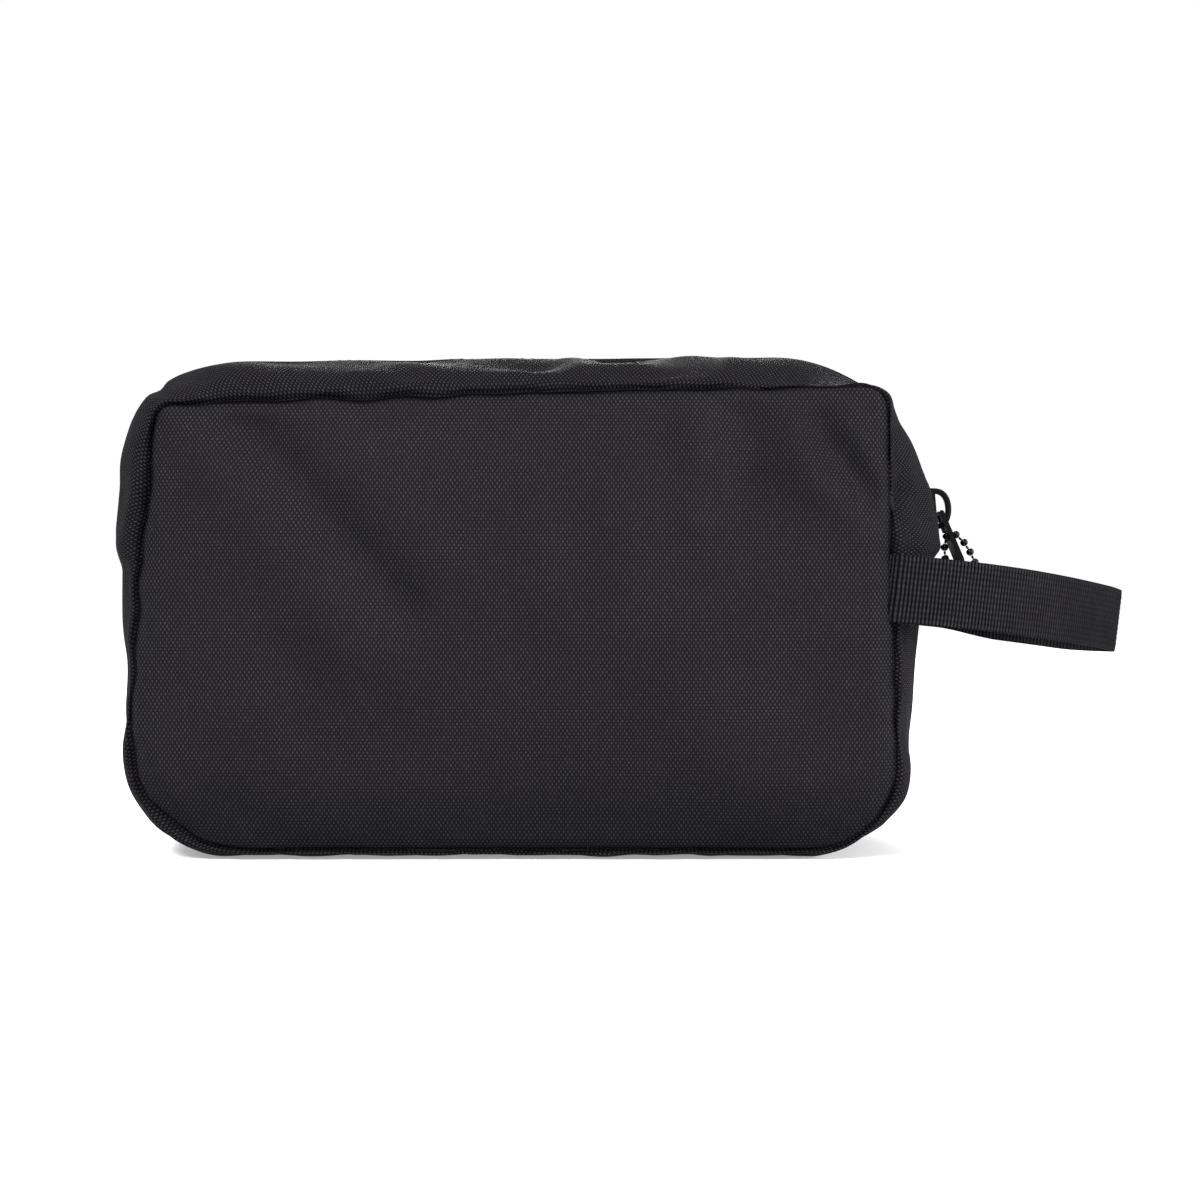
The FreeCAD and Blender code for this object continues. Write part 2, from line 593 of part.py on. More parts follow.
def handle():
    """One length of webbing, drawn level from the middle of its sewn ends, then hung a little low.

    It leaves the rear seam straight, bends in, folds over at its tip and comes back to the front seam.
    """
    depth, bend, fold = number("strap_depth"), number("strap_bend"), number("strap_fold")
    straight = number("strap_straight")
    tip = FreeCAD.Vector(number("strap_reach"), number("strap_tip_depth"), 0)

    def leg(side):
        """The points of one leg: sewn end, start, middle and end of its bend, and start of the fold."""
        first = FreeCAD.Vector(straight, side * depth, 0)
        turn = 0.0
        for _ in range(40):
            last = first + FreeCAD.Vector(bend * math.sin(turn), -side * bend * (1 - math.cos(turn)), 0)
            away = tip - last
            turn = -side * math.atan2(away.y, away.x) - math.asin(fold / away.Length)
        middle = first + FreeCAD.Vector(bend * math.sin(turn / 2), -side * bend * (1 - math.cos(turn / 2)), 0)
        direction = FreeCAD.Vector(math.cos(turn), -side * math.sin(turn), 0)
        meets_fold = last + direction * math.sqrt(away.Length ** 2 - fold ** 2)
        return FreeCAD.Vector(0, side * depth, 0), first, middle, last, meets_fold

    rear, front = leg(-1), leg(1)
    path = [
        Part.LineSegment(rear[0], rear[1]),
        Part.Arc(rear[1], rear[2], rear[3]),
        Part.LineSegment(rear[3], rear[4]),
        Part.Arc(rear[4], tip + FreeCAD.Vector(fold, 0, 0), front[4]),
        Part.LineSegment(front[4], front[3]),
        Part.Arc(front[3], front[2], front[1]),
        Part.LineSegment(front[1], front[0]),
    ]
    line = Part.Wire([piece.toShape() for piece in path])
    thick, high = number("strap_wall") / 2, number("strap_width") / 2
    ends = [(-thick, -high), (thick, -high), (thick, high), (-thick, high), (-thick, -high)]
    edge = Part.makePolygon([FreeCAD.Vector(0, -depth + across, up) for across, up in ends])
    item = doc.addObject("Part::Feature", "handle_webbing")
    item.Shape = line.makePipeShell([edge], True, False, 2)
    item.Placement = FreeCAD.Placement(FreeCAD.Vector(number("strap_root"), 0, number("strap_height")),
                                       FreeCAD.Rotation(FreeCAD.Vector(0, 1, 0), number("strap_droop")))
    node(item, "handle_webbing")
    print(f"webbing: {line.Length:.1f} mm long, section times length "
          f"{line.Length * 4 * thick * high:.1f} mm3, volume {item.Shape.Volume:.1f} mm3")


# ---------------------------------------------------------------- build, check and export


def check_and_export():
    doc.recompute()
    failed = [f"{o.Name}: {o.State}" for o in doc.Objects if {"Invalid", "Error"} & set(o.State)]
    if failed:
        raise RuntimeError(f"features failed: {failed}")
    for item in nodes:
        shape = item.Shape
        if shape.isNull() or not shape.isValid() or not shape.Solids:
            raise RuntimeError(f"{item.Label} is not a valid solid")
    os.makedirs("parts", exist_ok=True)
    for item in nodes:
        item.Shape.exportStep(f"parts/{item.Label}.step")
        print(f"{item.Label}: {len(item.Shape.Solids)} solids, {item.Shape.Volume:.1f} mm3")


wall_pieces()
panels()
seam_bindings()
zip_halves()
zip_ends()
slider()
pull_tab()
ball_chain()
handle()
check_and_export()
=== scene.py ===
"""The looks of a soft black toiletry bag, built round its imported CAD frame: woven fabric shell, zip, webbing loop."""
import math

import bpy
import numpy as np
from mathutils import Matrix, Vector
from numpy import concatenate as join
from numpy.linalg import norm


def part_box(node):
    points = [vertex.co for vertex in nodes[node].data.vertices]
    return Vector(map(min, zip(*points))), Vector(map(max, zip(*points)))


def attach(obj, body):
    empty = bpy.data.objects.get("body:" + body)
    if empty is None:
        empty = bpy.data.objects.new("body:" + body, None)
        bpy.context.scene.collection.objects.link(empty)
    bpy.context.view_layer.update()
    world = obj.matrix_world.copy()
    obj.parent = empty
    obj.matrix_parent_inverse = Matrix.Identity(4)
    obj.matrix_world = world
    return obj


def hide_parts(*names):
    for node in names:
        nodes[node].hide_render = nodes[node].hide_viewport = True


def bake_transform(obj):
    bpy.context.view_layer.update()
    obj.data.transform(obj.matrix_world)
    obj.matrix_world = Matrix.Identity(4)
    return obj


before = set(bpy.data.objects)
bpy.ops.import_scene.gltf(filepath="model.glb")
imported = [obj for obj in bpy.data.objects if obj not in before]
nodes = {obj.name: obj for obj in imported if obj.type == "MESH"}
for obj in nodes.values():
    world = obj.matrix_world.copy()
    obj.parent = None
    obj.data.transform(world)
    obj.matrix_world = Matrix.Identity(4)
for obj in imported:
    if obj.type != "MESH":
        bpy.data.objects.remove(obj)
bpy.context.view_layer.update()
MM = 0.001


# ---- outlines of the shell, in millimetres


def unit(vectors):
    """Vectors divided by their lengths."""
    return vectors / norm(vectors, axis=-1, keepdims=True)


def running_length(points):
    """Length along a line of points, from its start."""
    return join([[0], np.cumsum(norm(np.diff(points, axis=0), axis=1))])


def corner_arc(before, corner, after, radius, steps=48):
    """The arc that rounds one corner of a polygon."""
    before, corner, after = (np.array(p, float) for p in (before, corner, after))
    to_before, to_after = before - corner, after - corner
    to_before /= norm(to_before)
    to_after /= norm(to_after)
    half = math.acos(np.clip(to_before @ to_after, -1, 1)) / 2
    inward = to_before + to_after
    centre = corner + inward / norm(inward) * radius / math.sin(half)
    start, end = corner + to_before * radius / math.tan(half), corner + to_after * radius / math.tan(half)
    first = math.atan2(*(start - centre)[::-1])
    turn = (math.atan2(*(end - centre)[::-1]) - first + math.pi) % (2 * math.pi) - math.pi
    angles = first + turn * np.linspace(0, 1, steps + 1)
    return centre + radius * np.stack([np.cos(angles), np.sin(angles)], axis=1)


def evenly(points, count):
    """count points evenly along a line of points, from its start and without its end."""
    along = running_length(points)
    at = np.arange(count) / count * along[-1]
    return np.stack([np.interp(at, along, points[:, k]) for k in range(2)], axis=1)


def outline(corners, radii, counts):
    """A rounded polygon, sampled from the middle of each corner's arc to the middle of the next."""
    total = len(corners)
    arcs = [corner_arc(corners[i - 1], corners[i], corners[(i + 1) % total], radii[i]) for i in range(total)]
    half = len(arcs[0]) // 2
    runs = [
        evenly(join([arcs[i][half:], arcs[(i + 1) % total][: half + 1]]), counts[i]) for i in range(total)
    ]
    return join(runs)


# Corners in order: right zip end, top right, top left, left zip end, bottom left, bottom right.
SEAM_CORNERS = [(105.0, 87.0), (104.6, 136.0), (-103.6, 130.2), (-108.2, 87.0), (-113.2, 4.0), (107.2, 4.0)]
SEAM_RADII = [40, 7, 4.5, 40, 33, 25]
CREST_CORNERS = [(126.2, 87.0), (126.2, 149.2), (-123.8, 146.8), (-123.6, 87.0), (-117.5, 0.0), (113.5, 0.0)]
CREST_RADII = [40, 52, 36, 40, 32, 33]
SIDE_HIGH, SIDE_LOW, LONG = 16, 26, 70
COUNTS = [SIDE_HIGH, LONG, SIDE_HIGH, SIDE_LOW, LONG, SIDE_LOW]
COLUMNS = sum(COUNTS)
# Half the depth between the two seams, half the gap between the strips beside the zip, rows of the wall's grid,
# and how many times finer the grids become after the simulation; PANEL_CELL is a panel cell's size before that.
SEAM_DEPTH, ZIP_HALF = 40.5, 6.0
SIDE_ROWS, ZIP_ROWS = 18, 4
FINE, PANEL_CELL = 3, 3.0

seam_line = outline(SEAM_CORNERS, SEAM_RADII, COUNTS)
crest_line = outline(CREST_CORNERS, CREST_RADII, COUNTS)


# ---- grids of points


def refine(points, factor, axis, closed=False):
    """A grid with factor times as many steps along one axis, on Catmull-Rom curves through its points."""
    points = np.moveaxis(points, axis, 0)
    if closed:
        padded = join([points[-1:], points, points[:2]])
        steps = len(points)
    else:
        padded = join([2 * points[:1] - points[1:2], points, 2 * points[-1:] - points[-2:-1]])
        steps = len(points) - 1
    made = []
    for f in range(factor):
        t = f / factor
        weights = (
            (-t + 2 * t**2 - t**3) / 2, (2 - 5 * t**2 + 3 * t**3) / 2,
            (t + 4 * t**2 - 3 * t**3) / 2, (-(t**2) + t**3) / 2,
        )
        made.append(sum(w * padded[k : k + steps] for k, w in enumerate(weights)))
    out = np.stack(made, axis=1).reshape(-1, *points.shape[1:])
    if not closed:
        out = join([out, points[-1:]])
    return np.moveaxis(out, 0, axis)


def finer(grid, closed=False):
    return refine(refine(grid, FINE, 0), FINE, 1, closed)


def grid_normals(grid):
    """Unit normals of a grid."""
    normal = np.cross(np.gradient(grid, axis=0), np.gradient(grid, axis=1))
    return normal / np.maximum(norm(normal, axis=2, keepdims=True), 1e-9)


def outwards(grid, normals):
    """The normals, turned to point away from the middle of the bag."""
    middle = np.array([0.0, 0.0, 72.0])
    side = np.sign(((grid - middle) * normals).sum(axis=2).mean())
    return normals * (side if side else 1.0)


def lengths(grid, axis):
    """Length along each line of a grid, from its start."""
    steps = norm(np.diff(grid, axis=axis), axis=2)
    return join([np.zeros_like(np.take(steps, [0], axis=axis)), np.cumsum(steps, axis=axis)], axis=axis)


def ripples(u, v, sizes, seed, stretch=1.0):
    """Smooth random waves, about -1 to 1, with wavelengths in the given range; stretch lengthens them along u."""
    random = np.random.default_rng(seed)
    total = np.zeros_like(u, float)
    count = 14
    for _ in range(count):
        size, heading, phase = random.uniform(*sizes), random.uniform(0, math.pi), random.uniform(0, 2 * math.pi)
        total += np.sin(2 * math.pi * (u / stretch * math.cos(heading) + v * math.sin(heading)) / size + phase)
    return total / math.sqrt(count)


def ramp(value, low, high):
    """0 below low, 1 above high, and a smooth ramp between them."""
    t = np.clip((value - low) / (high - low), 0, 1)
    return t * t * (3 - 2 * t)


# ---- the shell's rest shape


def gusset_grid():
    """The wall round the bag: rows from the rear seam to the front seam, columns along the outline."""
    edge = math.asin(ZIP_HALF / SEAM_DEPTH)
    side = np.linspace(-math.pi / 2, -edge, SIDE_ROWS + 1)
    zip_rows = np.linspace(-edge, edge, ZIP_ROWS + 1)[1:-1]
    angle = join([side, zip_rows, -side[::-1]])
    depth = SEAM_DEPTH * np.sin(angle)
    flatness = np.interp(np.arange(COLUMNS), *zip(*WALL_FLATNESS))
    bulge = np.maximum(np.cos(angle), 0)[:, None] ** flatness[None]
    bulge[[0, -1]] = 0
    flat = seam_line[None] + (crest_line - seam_line)[None] * bulge[:, :, None]
    return np.stack([flat[:, :, 0], np.broadcast_to(depth[:, None], bulge.shape), flat[:, :, 1]], axis=2)


def panel_grid(side):
    """A crowned panel inside the seam outline; side is -1 for the rear and 1 for the front."""
    turned = np.roll(seam_line, SIDE_LOW, axis=0)
    high = SIDE_LOW + SIDE_HIGH
    right = turned[: high + 1]
    top = turned[high : high + LONG + 1][::-1]
    left = turned[high + LONG : 2 * high + LONG + 1][::-1]
    bottom = join([turned[2 * high + LONG :], turned[:1]])
    s = np.linspace(0, 1, LONG + 1)[None, :, None]
    t = np.linspace(0, 1, high + 1)[:, None, None]
    flat = (
        (1 - t) * bottom[None] + t * top[None] + (1 - s) * left[:, None] + s * right[:, None]
        - (1 - t) * (1 - s) * bottom[0] - (1 - t) * s * bottom[-1] - t * (1 - s) * top[0] - t * s * top[-1]
    )
    crown = ((1 - np.abs(2 * s - 1) ** 3.2) * (1 - np.abs(2 * t - 1) ** 3.2))[:, :, 0] ** 0.62
    slow = (1 - (2 * t[:, :, 0] - 1) ** 2) * np.minimum(1, 3 * crown)
    return np.stack([flat[:, :, 0], side * (SEAM_DEPTH + CROWN * crown + SLOW_CROWN * slow), flat[:, :, 1]], axis=2)


# How far a panel stands out of its seams: steeply near them, and slowly towards its middle.
CROWN, SLOW_CROWN = 5.5, 4.2
# How flat the wall is between seam and crest, by column: 0.5 is boxy, 1 is round, 3 is nearly straight.
WALL_FLATNESS = [
    (0, 1.2), (8, 2.0), (13, 1.8), (16, 1.25), (19, 2.3), (24, 2.6), (32, 1.3), (51, 1.0), (76, 1.1), (86, 1.35),
    (94, 1.2), (102, 1.1), (118, 1.2), (124, 0.7), (128, 0.5), (140, 0.36), (150, 0.34), (176, 0.34), (186, 0.45),
    (198, 0.6), (206, 1.2), (224, 1.2),
]
gusset = gusset_grid()
rear = panel_grid(-1)
front = panel_grid(1)


def linked(name, data):
    """A new object in the scene."""
    made = bpy.data.objects.new(name, data)
    bpy.context.scene.collection.objects.link(made)
    return made


def mesh_object(name, points, faces, material, uv=None, smooth=True):
    """An object from points in millimetres."""
    data = bpy.data.meshes.new(name)
    data.from_pydata((np.asarray(points, float) * MM).tolist(), [], [tuple(int(i) for i in f) for f in faces])
    if uv is not None:
        layer = data.uv_layers.new(name="cloth")
        corners = np.empty(len(data.loops), np.int32)
        data.loops.foreach_get("vertex_index", corners)
        layer.data.foreach_set("uv", np.asarray(uv, np.float32)[corners].ravel())
    data.polygons.foreach_set("use_smooth", np.broadcast_to(smooth, len(data.polygons)))
    data.materials.append(material)
    data.update()
    return linked(name, data)


def grid_faces(rows, columns, first=0, flip=False):
    """Quads of a grid of points."""
    index = np.arange(rows * columns).reshape(rows, columns) + first
    quads = np.stack([index[:-1, :-1], index[:-1, 1:], index[1:, 1:], index[1:, :-1]], axis=-1).reshape(-1, 4)
    return quads[:, ::-1] if flip else quads


def tube_faces(rings, sides, first=0):
    """Faces of a closed tube: quads between its rings of points, and then one face at each end."""
    index = np.arange(rings * sides).reshape(rings, sides) + first
    after = np.roll(index, -1, axis=1)
    quads = np.stack([index[:-1], after[:-1], after[1:], index[1:]], axis=-1).reshape(-1, 4).tolist()
    return quads + [index[0, ::-1].tolist(), index[-1].tolist()]


def sewn_places():
    """Rows and columns of the places on a panel's edge, and the wall columns that they are sewn to."""
    high = SIDE_LOW + SIDE_HIGH
    places = []
    for row in range(high + 1):
        for column in range(LONG + 1):
            if column == LONG:
                wall = row
            elif row == high:
                wall = high + LONG - column
            elif column == 0:
                wall = 2 * high + LONG - row
            elif row == 0:
                wall = 2 * high + LONG + column
            else:
                continue
            places.append((row, column, (wall - SIDE_LOW) % COLUMNS))
    return np.array(places).T


EDGE_ROW, EDGE_COLUMN, EDGE_WALL = sewn_places()


def inflate(gusset, rear, front):
    """Sews the three grids into one closed bag, fills it with air in a cloth simulation, and returns them again.

    The zip and the middle of the base stay put, the cloth is cut a little large, and the seams draw it in.
    """
    rows = gusset.shape[0]
    points = list(gusset.reshape(-1, 3))
    index = np.arange(rows * COLUMNS).reshape(rows, COLUMNS)
    faces = tube_faces(rows, COLUMNS)[:-2]
    panel_index = []
    for grid, seam_row, flip in ((rear, 0, False), (front, rows - 1, True)):
        own = np.full(grid.shape[:2], -1)
        own[EDGE_ROW, EDGE_COLUMN] = index[seam_row, EDGE_WALL]
        inner = own < 0
        own[inner] = len(points) + np.arange(inner.sum())
        points.extend(grid[inner])
        faces += own.ravel()[grid_faces(*own.shape, flip=flip)].tolist()
        panel_index.append(own)
    material = bpy.data.materials.new("pattern")
    bag = mesh_object("pattern", points, faces, material)
    held = bag.vertex_groups.new(name="held")
    middle = slice(rows // 2 - ZIP_ROWS // 2, rows // 2 + ZIP_ROWS // 2 + 1)
    zip_columns = 2 * SIDE_HIGH + LONG + 1
    held.add([int(i) for i in index[middle, :zip_columns].ravel()], 1.0, "REPLACE")
    start = np.array(points)
    base = [i for i, p in enumerate(start) if p[2] < 0.6 and abs(p[1]) < 30]
    held.add(base, 1.0, "REPLACE")
    sewn = [int(i) for i in index[[0, -1]].ravel()]
    held.add(sewn, SEAM_HOLD, "REPLACE")
    seams = bag.vertex_groups.new(name="seams")
    seams.add(sewn, 1.0, "REPLACE")
    settings = bag.modifiers.new("air", "CLOTH").settings
    settings.effector_weights.gravity = 0
    for key, value in dict(
        quality=6, mass=0.15, use_pressure=True, uniform_pressure_force=PRESSURE, tension_stiffness=30,
        compression_stiffness=30, shear_stiffness=12, bending_stiffness=0.6, air_damping=2, vertex_group_mass="held",
        vertex_group_shrink="seams", shrink_min=-SPARE_CLOTH, shrink_max=SEAM_DRAW,
    ).items():
        setattr(settings, key, value)
    scene = bpy.context.scene
    for step in range(1, SIM_FRAMES + 1):
        scene.frame_set(step)
    settled = bag.evaluated_get(bpy.context.evaluated_depsgraph_get()).to_mesh()
    moved = np.empty(len(settled.vertices) * 3, np.float32)
    settled.vertices.foreach_get("co", moved)
    moved = moved.reshape(-1, 3).astype(float) / MM
    scene.frame_set(1)
    bpy.data.objects.remove(bag)
    bpy.data.materials.remove(material)
    shift = moved - start
    size = norm(shift, axis=1, keepdims=True)
    moved = start + shift * np.minimum(1, MOST_SHIFT / np.maximum(size, 1e-9))
    moved[:, 2] = np.maximum(moved[:, 2], 0.0)
    return moved[index], moved[panel_index[0]], moved[panel_index[1]]


def blurred(field, passes, closed=False):
    """A grid of vectors, each point mixed with its neighbours a number of times."""
    for _ in range(passes):
        padded = np.pad(field, ((1, 1), (0, 0), (0, 0)), mode="edge")
        field = (padded[:-2] + 2 * padded[1:-1] + padded[2:]) / 4
        padded = np.pad(field, ((0, 0), (1, 1), (0, 0)), mode="wrap" if closed else "edge")
        field = (padded[:, :-2] + 2 * padded[:, 1:-1] + padded[:, 2:]) / 4
    return field


def creased(before, after, closed=False):
    """The rest shape with the creases of the simulated one: its shift less the broad swelling, and capped."""
    shift = after - before
    fine = (blurred(shift, 1, closed) - blurred(shift, BROAD_PASSES, closed)) * CREASE_SHARE
    size = norm(fine, axis=2, keepdims=True)
    return before + fine / (1 + size / MOST_CREASE)


# The air's pressure, the share of spare cloth, how far the seams draw in and are held, and the cap of a shift in mm.
PRESSURE, SPARE_CLOTH, SEAM_DRAW, SEAM_HOLD, SIM_FRAMES, MOST_SHIFT = 1.0, 0.035, 0.0, 0.6, 20, 12.0
# How broad a swelling is left out, how much of a crease is kept and its cap in mm, and the heights and the distances
# from the zip's middle between which the creases come back.
BROAD_PASSES, CREASE_SHARE, MOST_CREASE, ZIP_BEGINS, ZIP_REACH = 26, 0.45, 2.2, (78, 90), (6, 14)
full_gusset, full_rear, full_front = inflate(gusset, rear, front)
# No creases beside the zip, so that it keeps the path that the slider follows.
off_zip = 1 - ramp(gusset[:, :, 2], *ZIP_BEGINS) * (1 - ramp(np.abs(gusset[:, :, 1]), *ZIP_REACH))
gusset = gusset + (creased(gusset, full_gusset, closed=True) - gusset) * off_zip[:, :, None]
rear = creased(rear, full_rear)
front = creased(front, full_front)
gusset[:, :, 2] = np.maximum(gusset[:, :, 2], 0.0)
rear[EDGE_ROW, EDGE_COLUMN] = gusset[0, EDGE_WALL]
front[EDGE_ROW, EDGE_COLUMN] = gusset[-1, EDGE_WALL]


# ---- folds and edges shaped in code


def near_line(across, up, line, width):
    """1 along a straight line between two places, falling away on both sides of it."""
    (x0, z0), (x1, z1) = line
    span = np.array([x1 - x0, z1 - z0])
    along = np.clip(((across - x0) * span[0] + (up - z0) * span[1]) / (span @ span), 0, 1)
    away = np.hypot(across - x0 - along * span[0], up - z0 - along * span[1])
    return np.exp(-((away / width) ** 2))


# Ridges (height above zero) and valleys of the rear panel: two ends (x, z), width, height, in millimetres.
PANEL_FOLDS = [
    ((-94, 122), (-49, 62), 10, 3.1),
    ((-80, 127), (-33, 73), 7, -3.8),
    ((-55, 130), (-23, 86), 9, 1.6),
    ((-30, 128), (-12, 112), 7, -0.9),
    ((51, 130), (49, 98), 6, 2.3),
    ((64, 130), (65, 108), 6, -2.5),
    ((78, 128), (80, 106), 6, 1.7),
    ((86, 124), (101, 102), 5, -3.6),
    ((82, 113), (95, 96), 7, 2.2),
    ((94, 122), (100, 112), 4, 1.6),
    ((-60, 34), (30, 20), 18, -1.4),
    ((40, 60), (70, 20), 20, 0.9),
]


def edge_distance(grid, cell):
    """Distance from the edge of a panel's grid, in millimetres."""
    high, wide = grid.shape[:2]
    r, c = np.arange(high)[:, None], np.arange(wide)[None]
    return np.minimum(np.minimum(r, high - 1 - r), np.minimum(c, wide - 1 - c)) * cell


def sculpt_panel(grid, side, folds, seed):
    """Adds folds and slow waves to a panel, none of them at its sewn edge."""
    x, z = grid[:, :, 0], grid[:, :, 2]
    height = 0.45 * ripples(x, z, (45, 110), seed) + 0.10 * ripples(x, z, (16, 34), seed + 1)
    for first, last, width, amount in folds:
        height = height + amount * near_line(x, z, (first, last), width)
    grid[:, :, 1] += side * height * ramp(edge_distance(grid, PANEL_CELL), 0, 9)


def sculpt_wall(grid):
    """Adds waves, the pinched corner by the left seam, the folds on the right and the step at the zip's ends."""
    flat_normal = wall_normals(grid)
    along = lengths(grid, 1).mean(axis=0)[None] + np.zeros(grid.shape[:2])
    across = grid[:, :, 1]
    x, z = grid[:, :, 0], grid[:, :, 2]
    from_seam = SEAM_DEPTH - np.abs(across)
    upper = ramp(z, 84, 90)
    on_top = ramp(z, 120, 138) * ramp(x, -48, -18) * (1 - ramp(x, 40, 68))
    off_seam = ramp(from_seam, 0, 6)
    free = off_seam * ramp(np.abs(across), 4, 12)
    height = free * 0.45 * ripples(along, across, (18, 46), 21)
    height += free * on_top * 0.8 * (ripples(along, across, (15, 30), 22) - 0.5)
    right, rear_half = x > 60, across < 0
    height -= right * ramp(from_seam, 0.3, 3) * 3.0 * near_line(across, z, ((-41, 101.5), (-30, 109)), 2.6)
    above_slider = ramp(z, 106, 114)
    height -= right * off_seam * 2.0 * above_slider * (1 - ramp(z, 128, 136))
    height -= right * off_seam * 1.2 * ramp(z, 89, 97) * (1 - above_slider)
    height += right * free * 0.6 * near_line(across, z, ((-36, 112), (-16, 124)), 6)
    height += right * free * 1.2 * near_line(across, z, ((-34, 90), (-10, 98)), 5)
    lower_end = (1 - upper) * np.where(right, 3.8 * ramp(z, 10, 70), 1.6 * ramp(z, 20, 86))
    height -= off_seam * lower_end
    height -= rear_half * off_seam * 1.3 * near_line(x, z, ((-103, 129), (-118, 151)), 2.0)
    height += free * 0.6 * near_line(x, z, ((-84, 140), (-84, 150)), 8) * rear_half
    grid[:, :, 0] += flat_normal[:, :, 0] * height
    grid[:, :, 2] += flat_normal[:, :, 1] * height
    pinch = near_line(from_seam, z, ((5, 127), (6, 93)), 4.5) * rear_half * (x < -80) * ramp(from_seam, 0, 2.5)
    grid[:, :, 0] += 0.6 * pinch
    grid[:, :, 1] -= 1.6 * pinch
    grid[:, :, 2] = np.maximum(grid[:, :, 2], 0.0)


def wall_normals(grid):
    """Outward directions of the wall in the x-z plane, one for each point."""
    middle = grid[grid.shape[0] // 2][:, [0, 2]]
    ahead = np.roll(middle, -2, axis=0) - np.roll(middle, 2, axis=0)
    normal = unit(np.stack([ahead[:, 1], -ahead[:, 0]], axis=1))
    inward = ((middle - middle.mean(axis=0)) * normal).sum(axis=1).mean() < 0
    return np.broadcast_to(-normal if inward else normal, (grid.shape[0], *normal.shape))


def seam_groove(grid, away):
    """How far the wall dips beside a seam, a distance away from it; deepest down the upper left side."""
    x, z = grid[:, :, 0], grid[:, :, 2]
    deep = GROOVE_DEEP + 1.2 * ramp(z, 84, 97) * ramp(-x, 88, 100)
    deep = deep + 0.45 * ripples(x, z, (7, 19), 41)
    return deep * ramp(away, 0, 0.9) * np.exp(-((away / GROOVE_WIDE) ** 2))


def pucker(grid, away):
    """Small gathers beside a seam, and the wander of the seam line itself."""
    x, z = grid[:, :, 0].copy(), grid[:, :, 2].copy()
    left = 0.6 + 0.6 * ramp(-x, 0, 60)
    near = np.exp(-((away / 4) ** 2))
    grid[:, :, 0] += near * 0.35 * left * ripples(x, z, (9, 24), 42)
    grid[:, :, 2] += near * 0.45 * left * ripples(x, z, (9, 24), 43) * ramp(z, 8, 20)
    gathers = 0.32 * left * ripples(x, z, (7, 15), 44) * np.exp(-away / 7) * ramp(away, 0, 3)
    grid[:, :, 1] += gathers * np.sign(grid[:, :, 1]) * ramp(np.abs(grid[:, :, 1]), 22, 34)


GROOVE_DEEP, GROOVE_WIDE = 2.8, 2.0
FRONT_FOLDS = [((-70, 110), (-30, 60), 12, -1.4), ((60, 120), (85, 80), 8, -1.2)]
sculpt_panel(rear, -1, PANEL_FOLDS, 3)
sculpt_panel(front, 1, FRONT_FOLDS, 8)
sculpt_wall(gusset)
plain_wall = finer(gusset, closed=True)
fine_wall = plain_wall.copy()
fine_rear, fine_front = finer(rear), finer(front)
SIDE_LINES = SIDE_ROWS * FINE
TOP_COLUMNS = (2 * SIDE_HIGH + LONG) * FINE
LAST = fine_wall.shape[0] - 1


def shape_edges():
    """Sinks the wall beside its seams, gathers the cloth there, and turns a hem beside the zip."""
    from_rear = lengths(plain_wall, 0)
    from_front = from_rear[-1:] - from_rear
    fine_wall[:, :, 1] += seam_groove(plain_wall, from_rear) - seam_groove(plain_wall, from_front)
    pucker(fine_wall, np.minimum(from_rear, from_front))
    for grid in (fine_rear, fine_front):
        pucker(grid, edge_distance(grid, PANEL_CELL / FINE))
    beside = np.abs(plain_wall[:, : TOP_COLUMNS + 1, 1]) - ZIP_HALF
    hem = 0.5 * np.exp(-(((beside - 0.9) / 1.3) ** 2)) - 0.35 * np.exp(-(((beside - 3.1) / 0.9) ** 2))
    hem *= beside > -0.5
    fine_wall[:, : TOP_COLUMNS + 1, [0, 2]] += wall_normals(fine_wall)[:, : TOP_COLUMNS + 1] * hem[:, :, None]


shape_edges()


def cloth(name, grid, uv, thickness, material, stands_for, far=None, painted_shade=None):
    """A sheet of cloth: its outer face is the grid, and its inner face is the thickness below that.

    The last argument gives each place's painted shade, from 0 to 1: darkening painted into its seams and near the
    bottom, which the material mixes in.
    """
    rows, columns = grid.shape[:2]
    raw = grid_normals(grid)
    normals = outwards(grid, raw)
    flip = bool((raw * normals).sum() < 0)
    inner = grid - normals * thickness
    size = rows * columns
    outer_faces = grid_faces(rows, columns, 0, flip=not flip)
    inner_faces = grid_faces(rows, columns, size, flip=flip)
    index = np.arange(size).reshape(rows, columns)
    ring = join([index[0, :-1], index[:-1, -1], index[-1, :0:-1], index[:0:-1, 0]])
    after = np.roll(ring, -1)
    edge = np.stack([ring, ring + size, after + size, after], axis=1)
    if flip:
        edge = edge[:, ::-1]
    faces = join([outer_faces, inner_faces, edge])
    smooth = join([np.ones(2 * len(outer_faces), bool), np.zeros(len(edge), bool)])
    points = join([grid, inner]).reshape(-1, 3)
    made = mesh_object(name, points, faces, material, np.tile(uv.reshape(-1, 2), (2, 1)), smooth)
    # Painted shade: a per-point attribute that darkens the cloth's colour in its seams and near the bottom.
    if painted_shade is not None:
        layer = made.data.attributes.new("painted_shade", "FLOAT", "POINT")
        layer.data.foreach_set("value", np.tile(painted_shade.ravel(), 2).astype(np.float32))
    declare(made, "bag", stands_for, far)


def seam_painted_shade(grid, away, reach):
    """How much painted shade each place gets from a seam: 1 on the seam line, less down the lower right side."""
    open_side = ramp(grid[:, :, 0], 85, 100) * (1 - ramp(grid[:, :, 2], 110, 130))
    return (1 - 0.45 * open_side) * np.exp(-((away / reach) ** 2))


# ---- materials


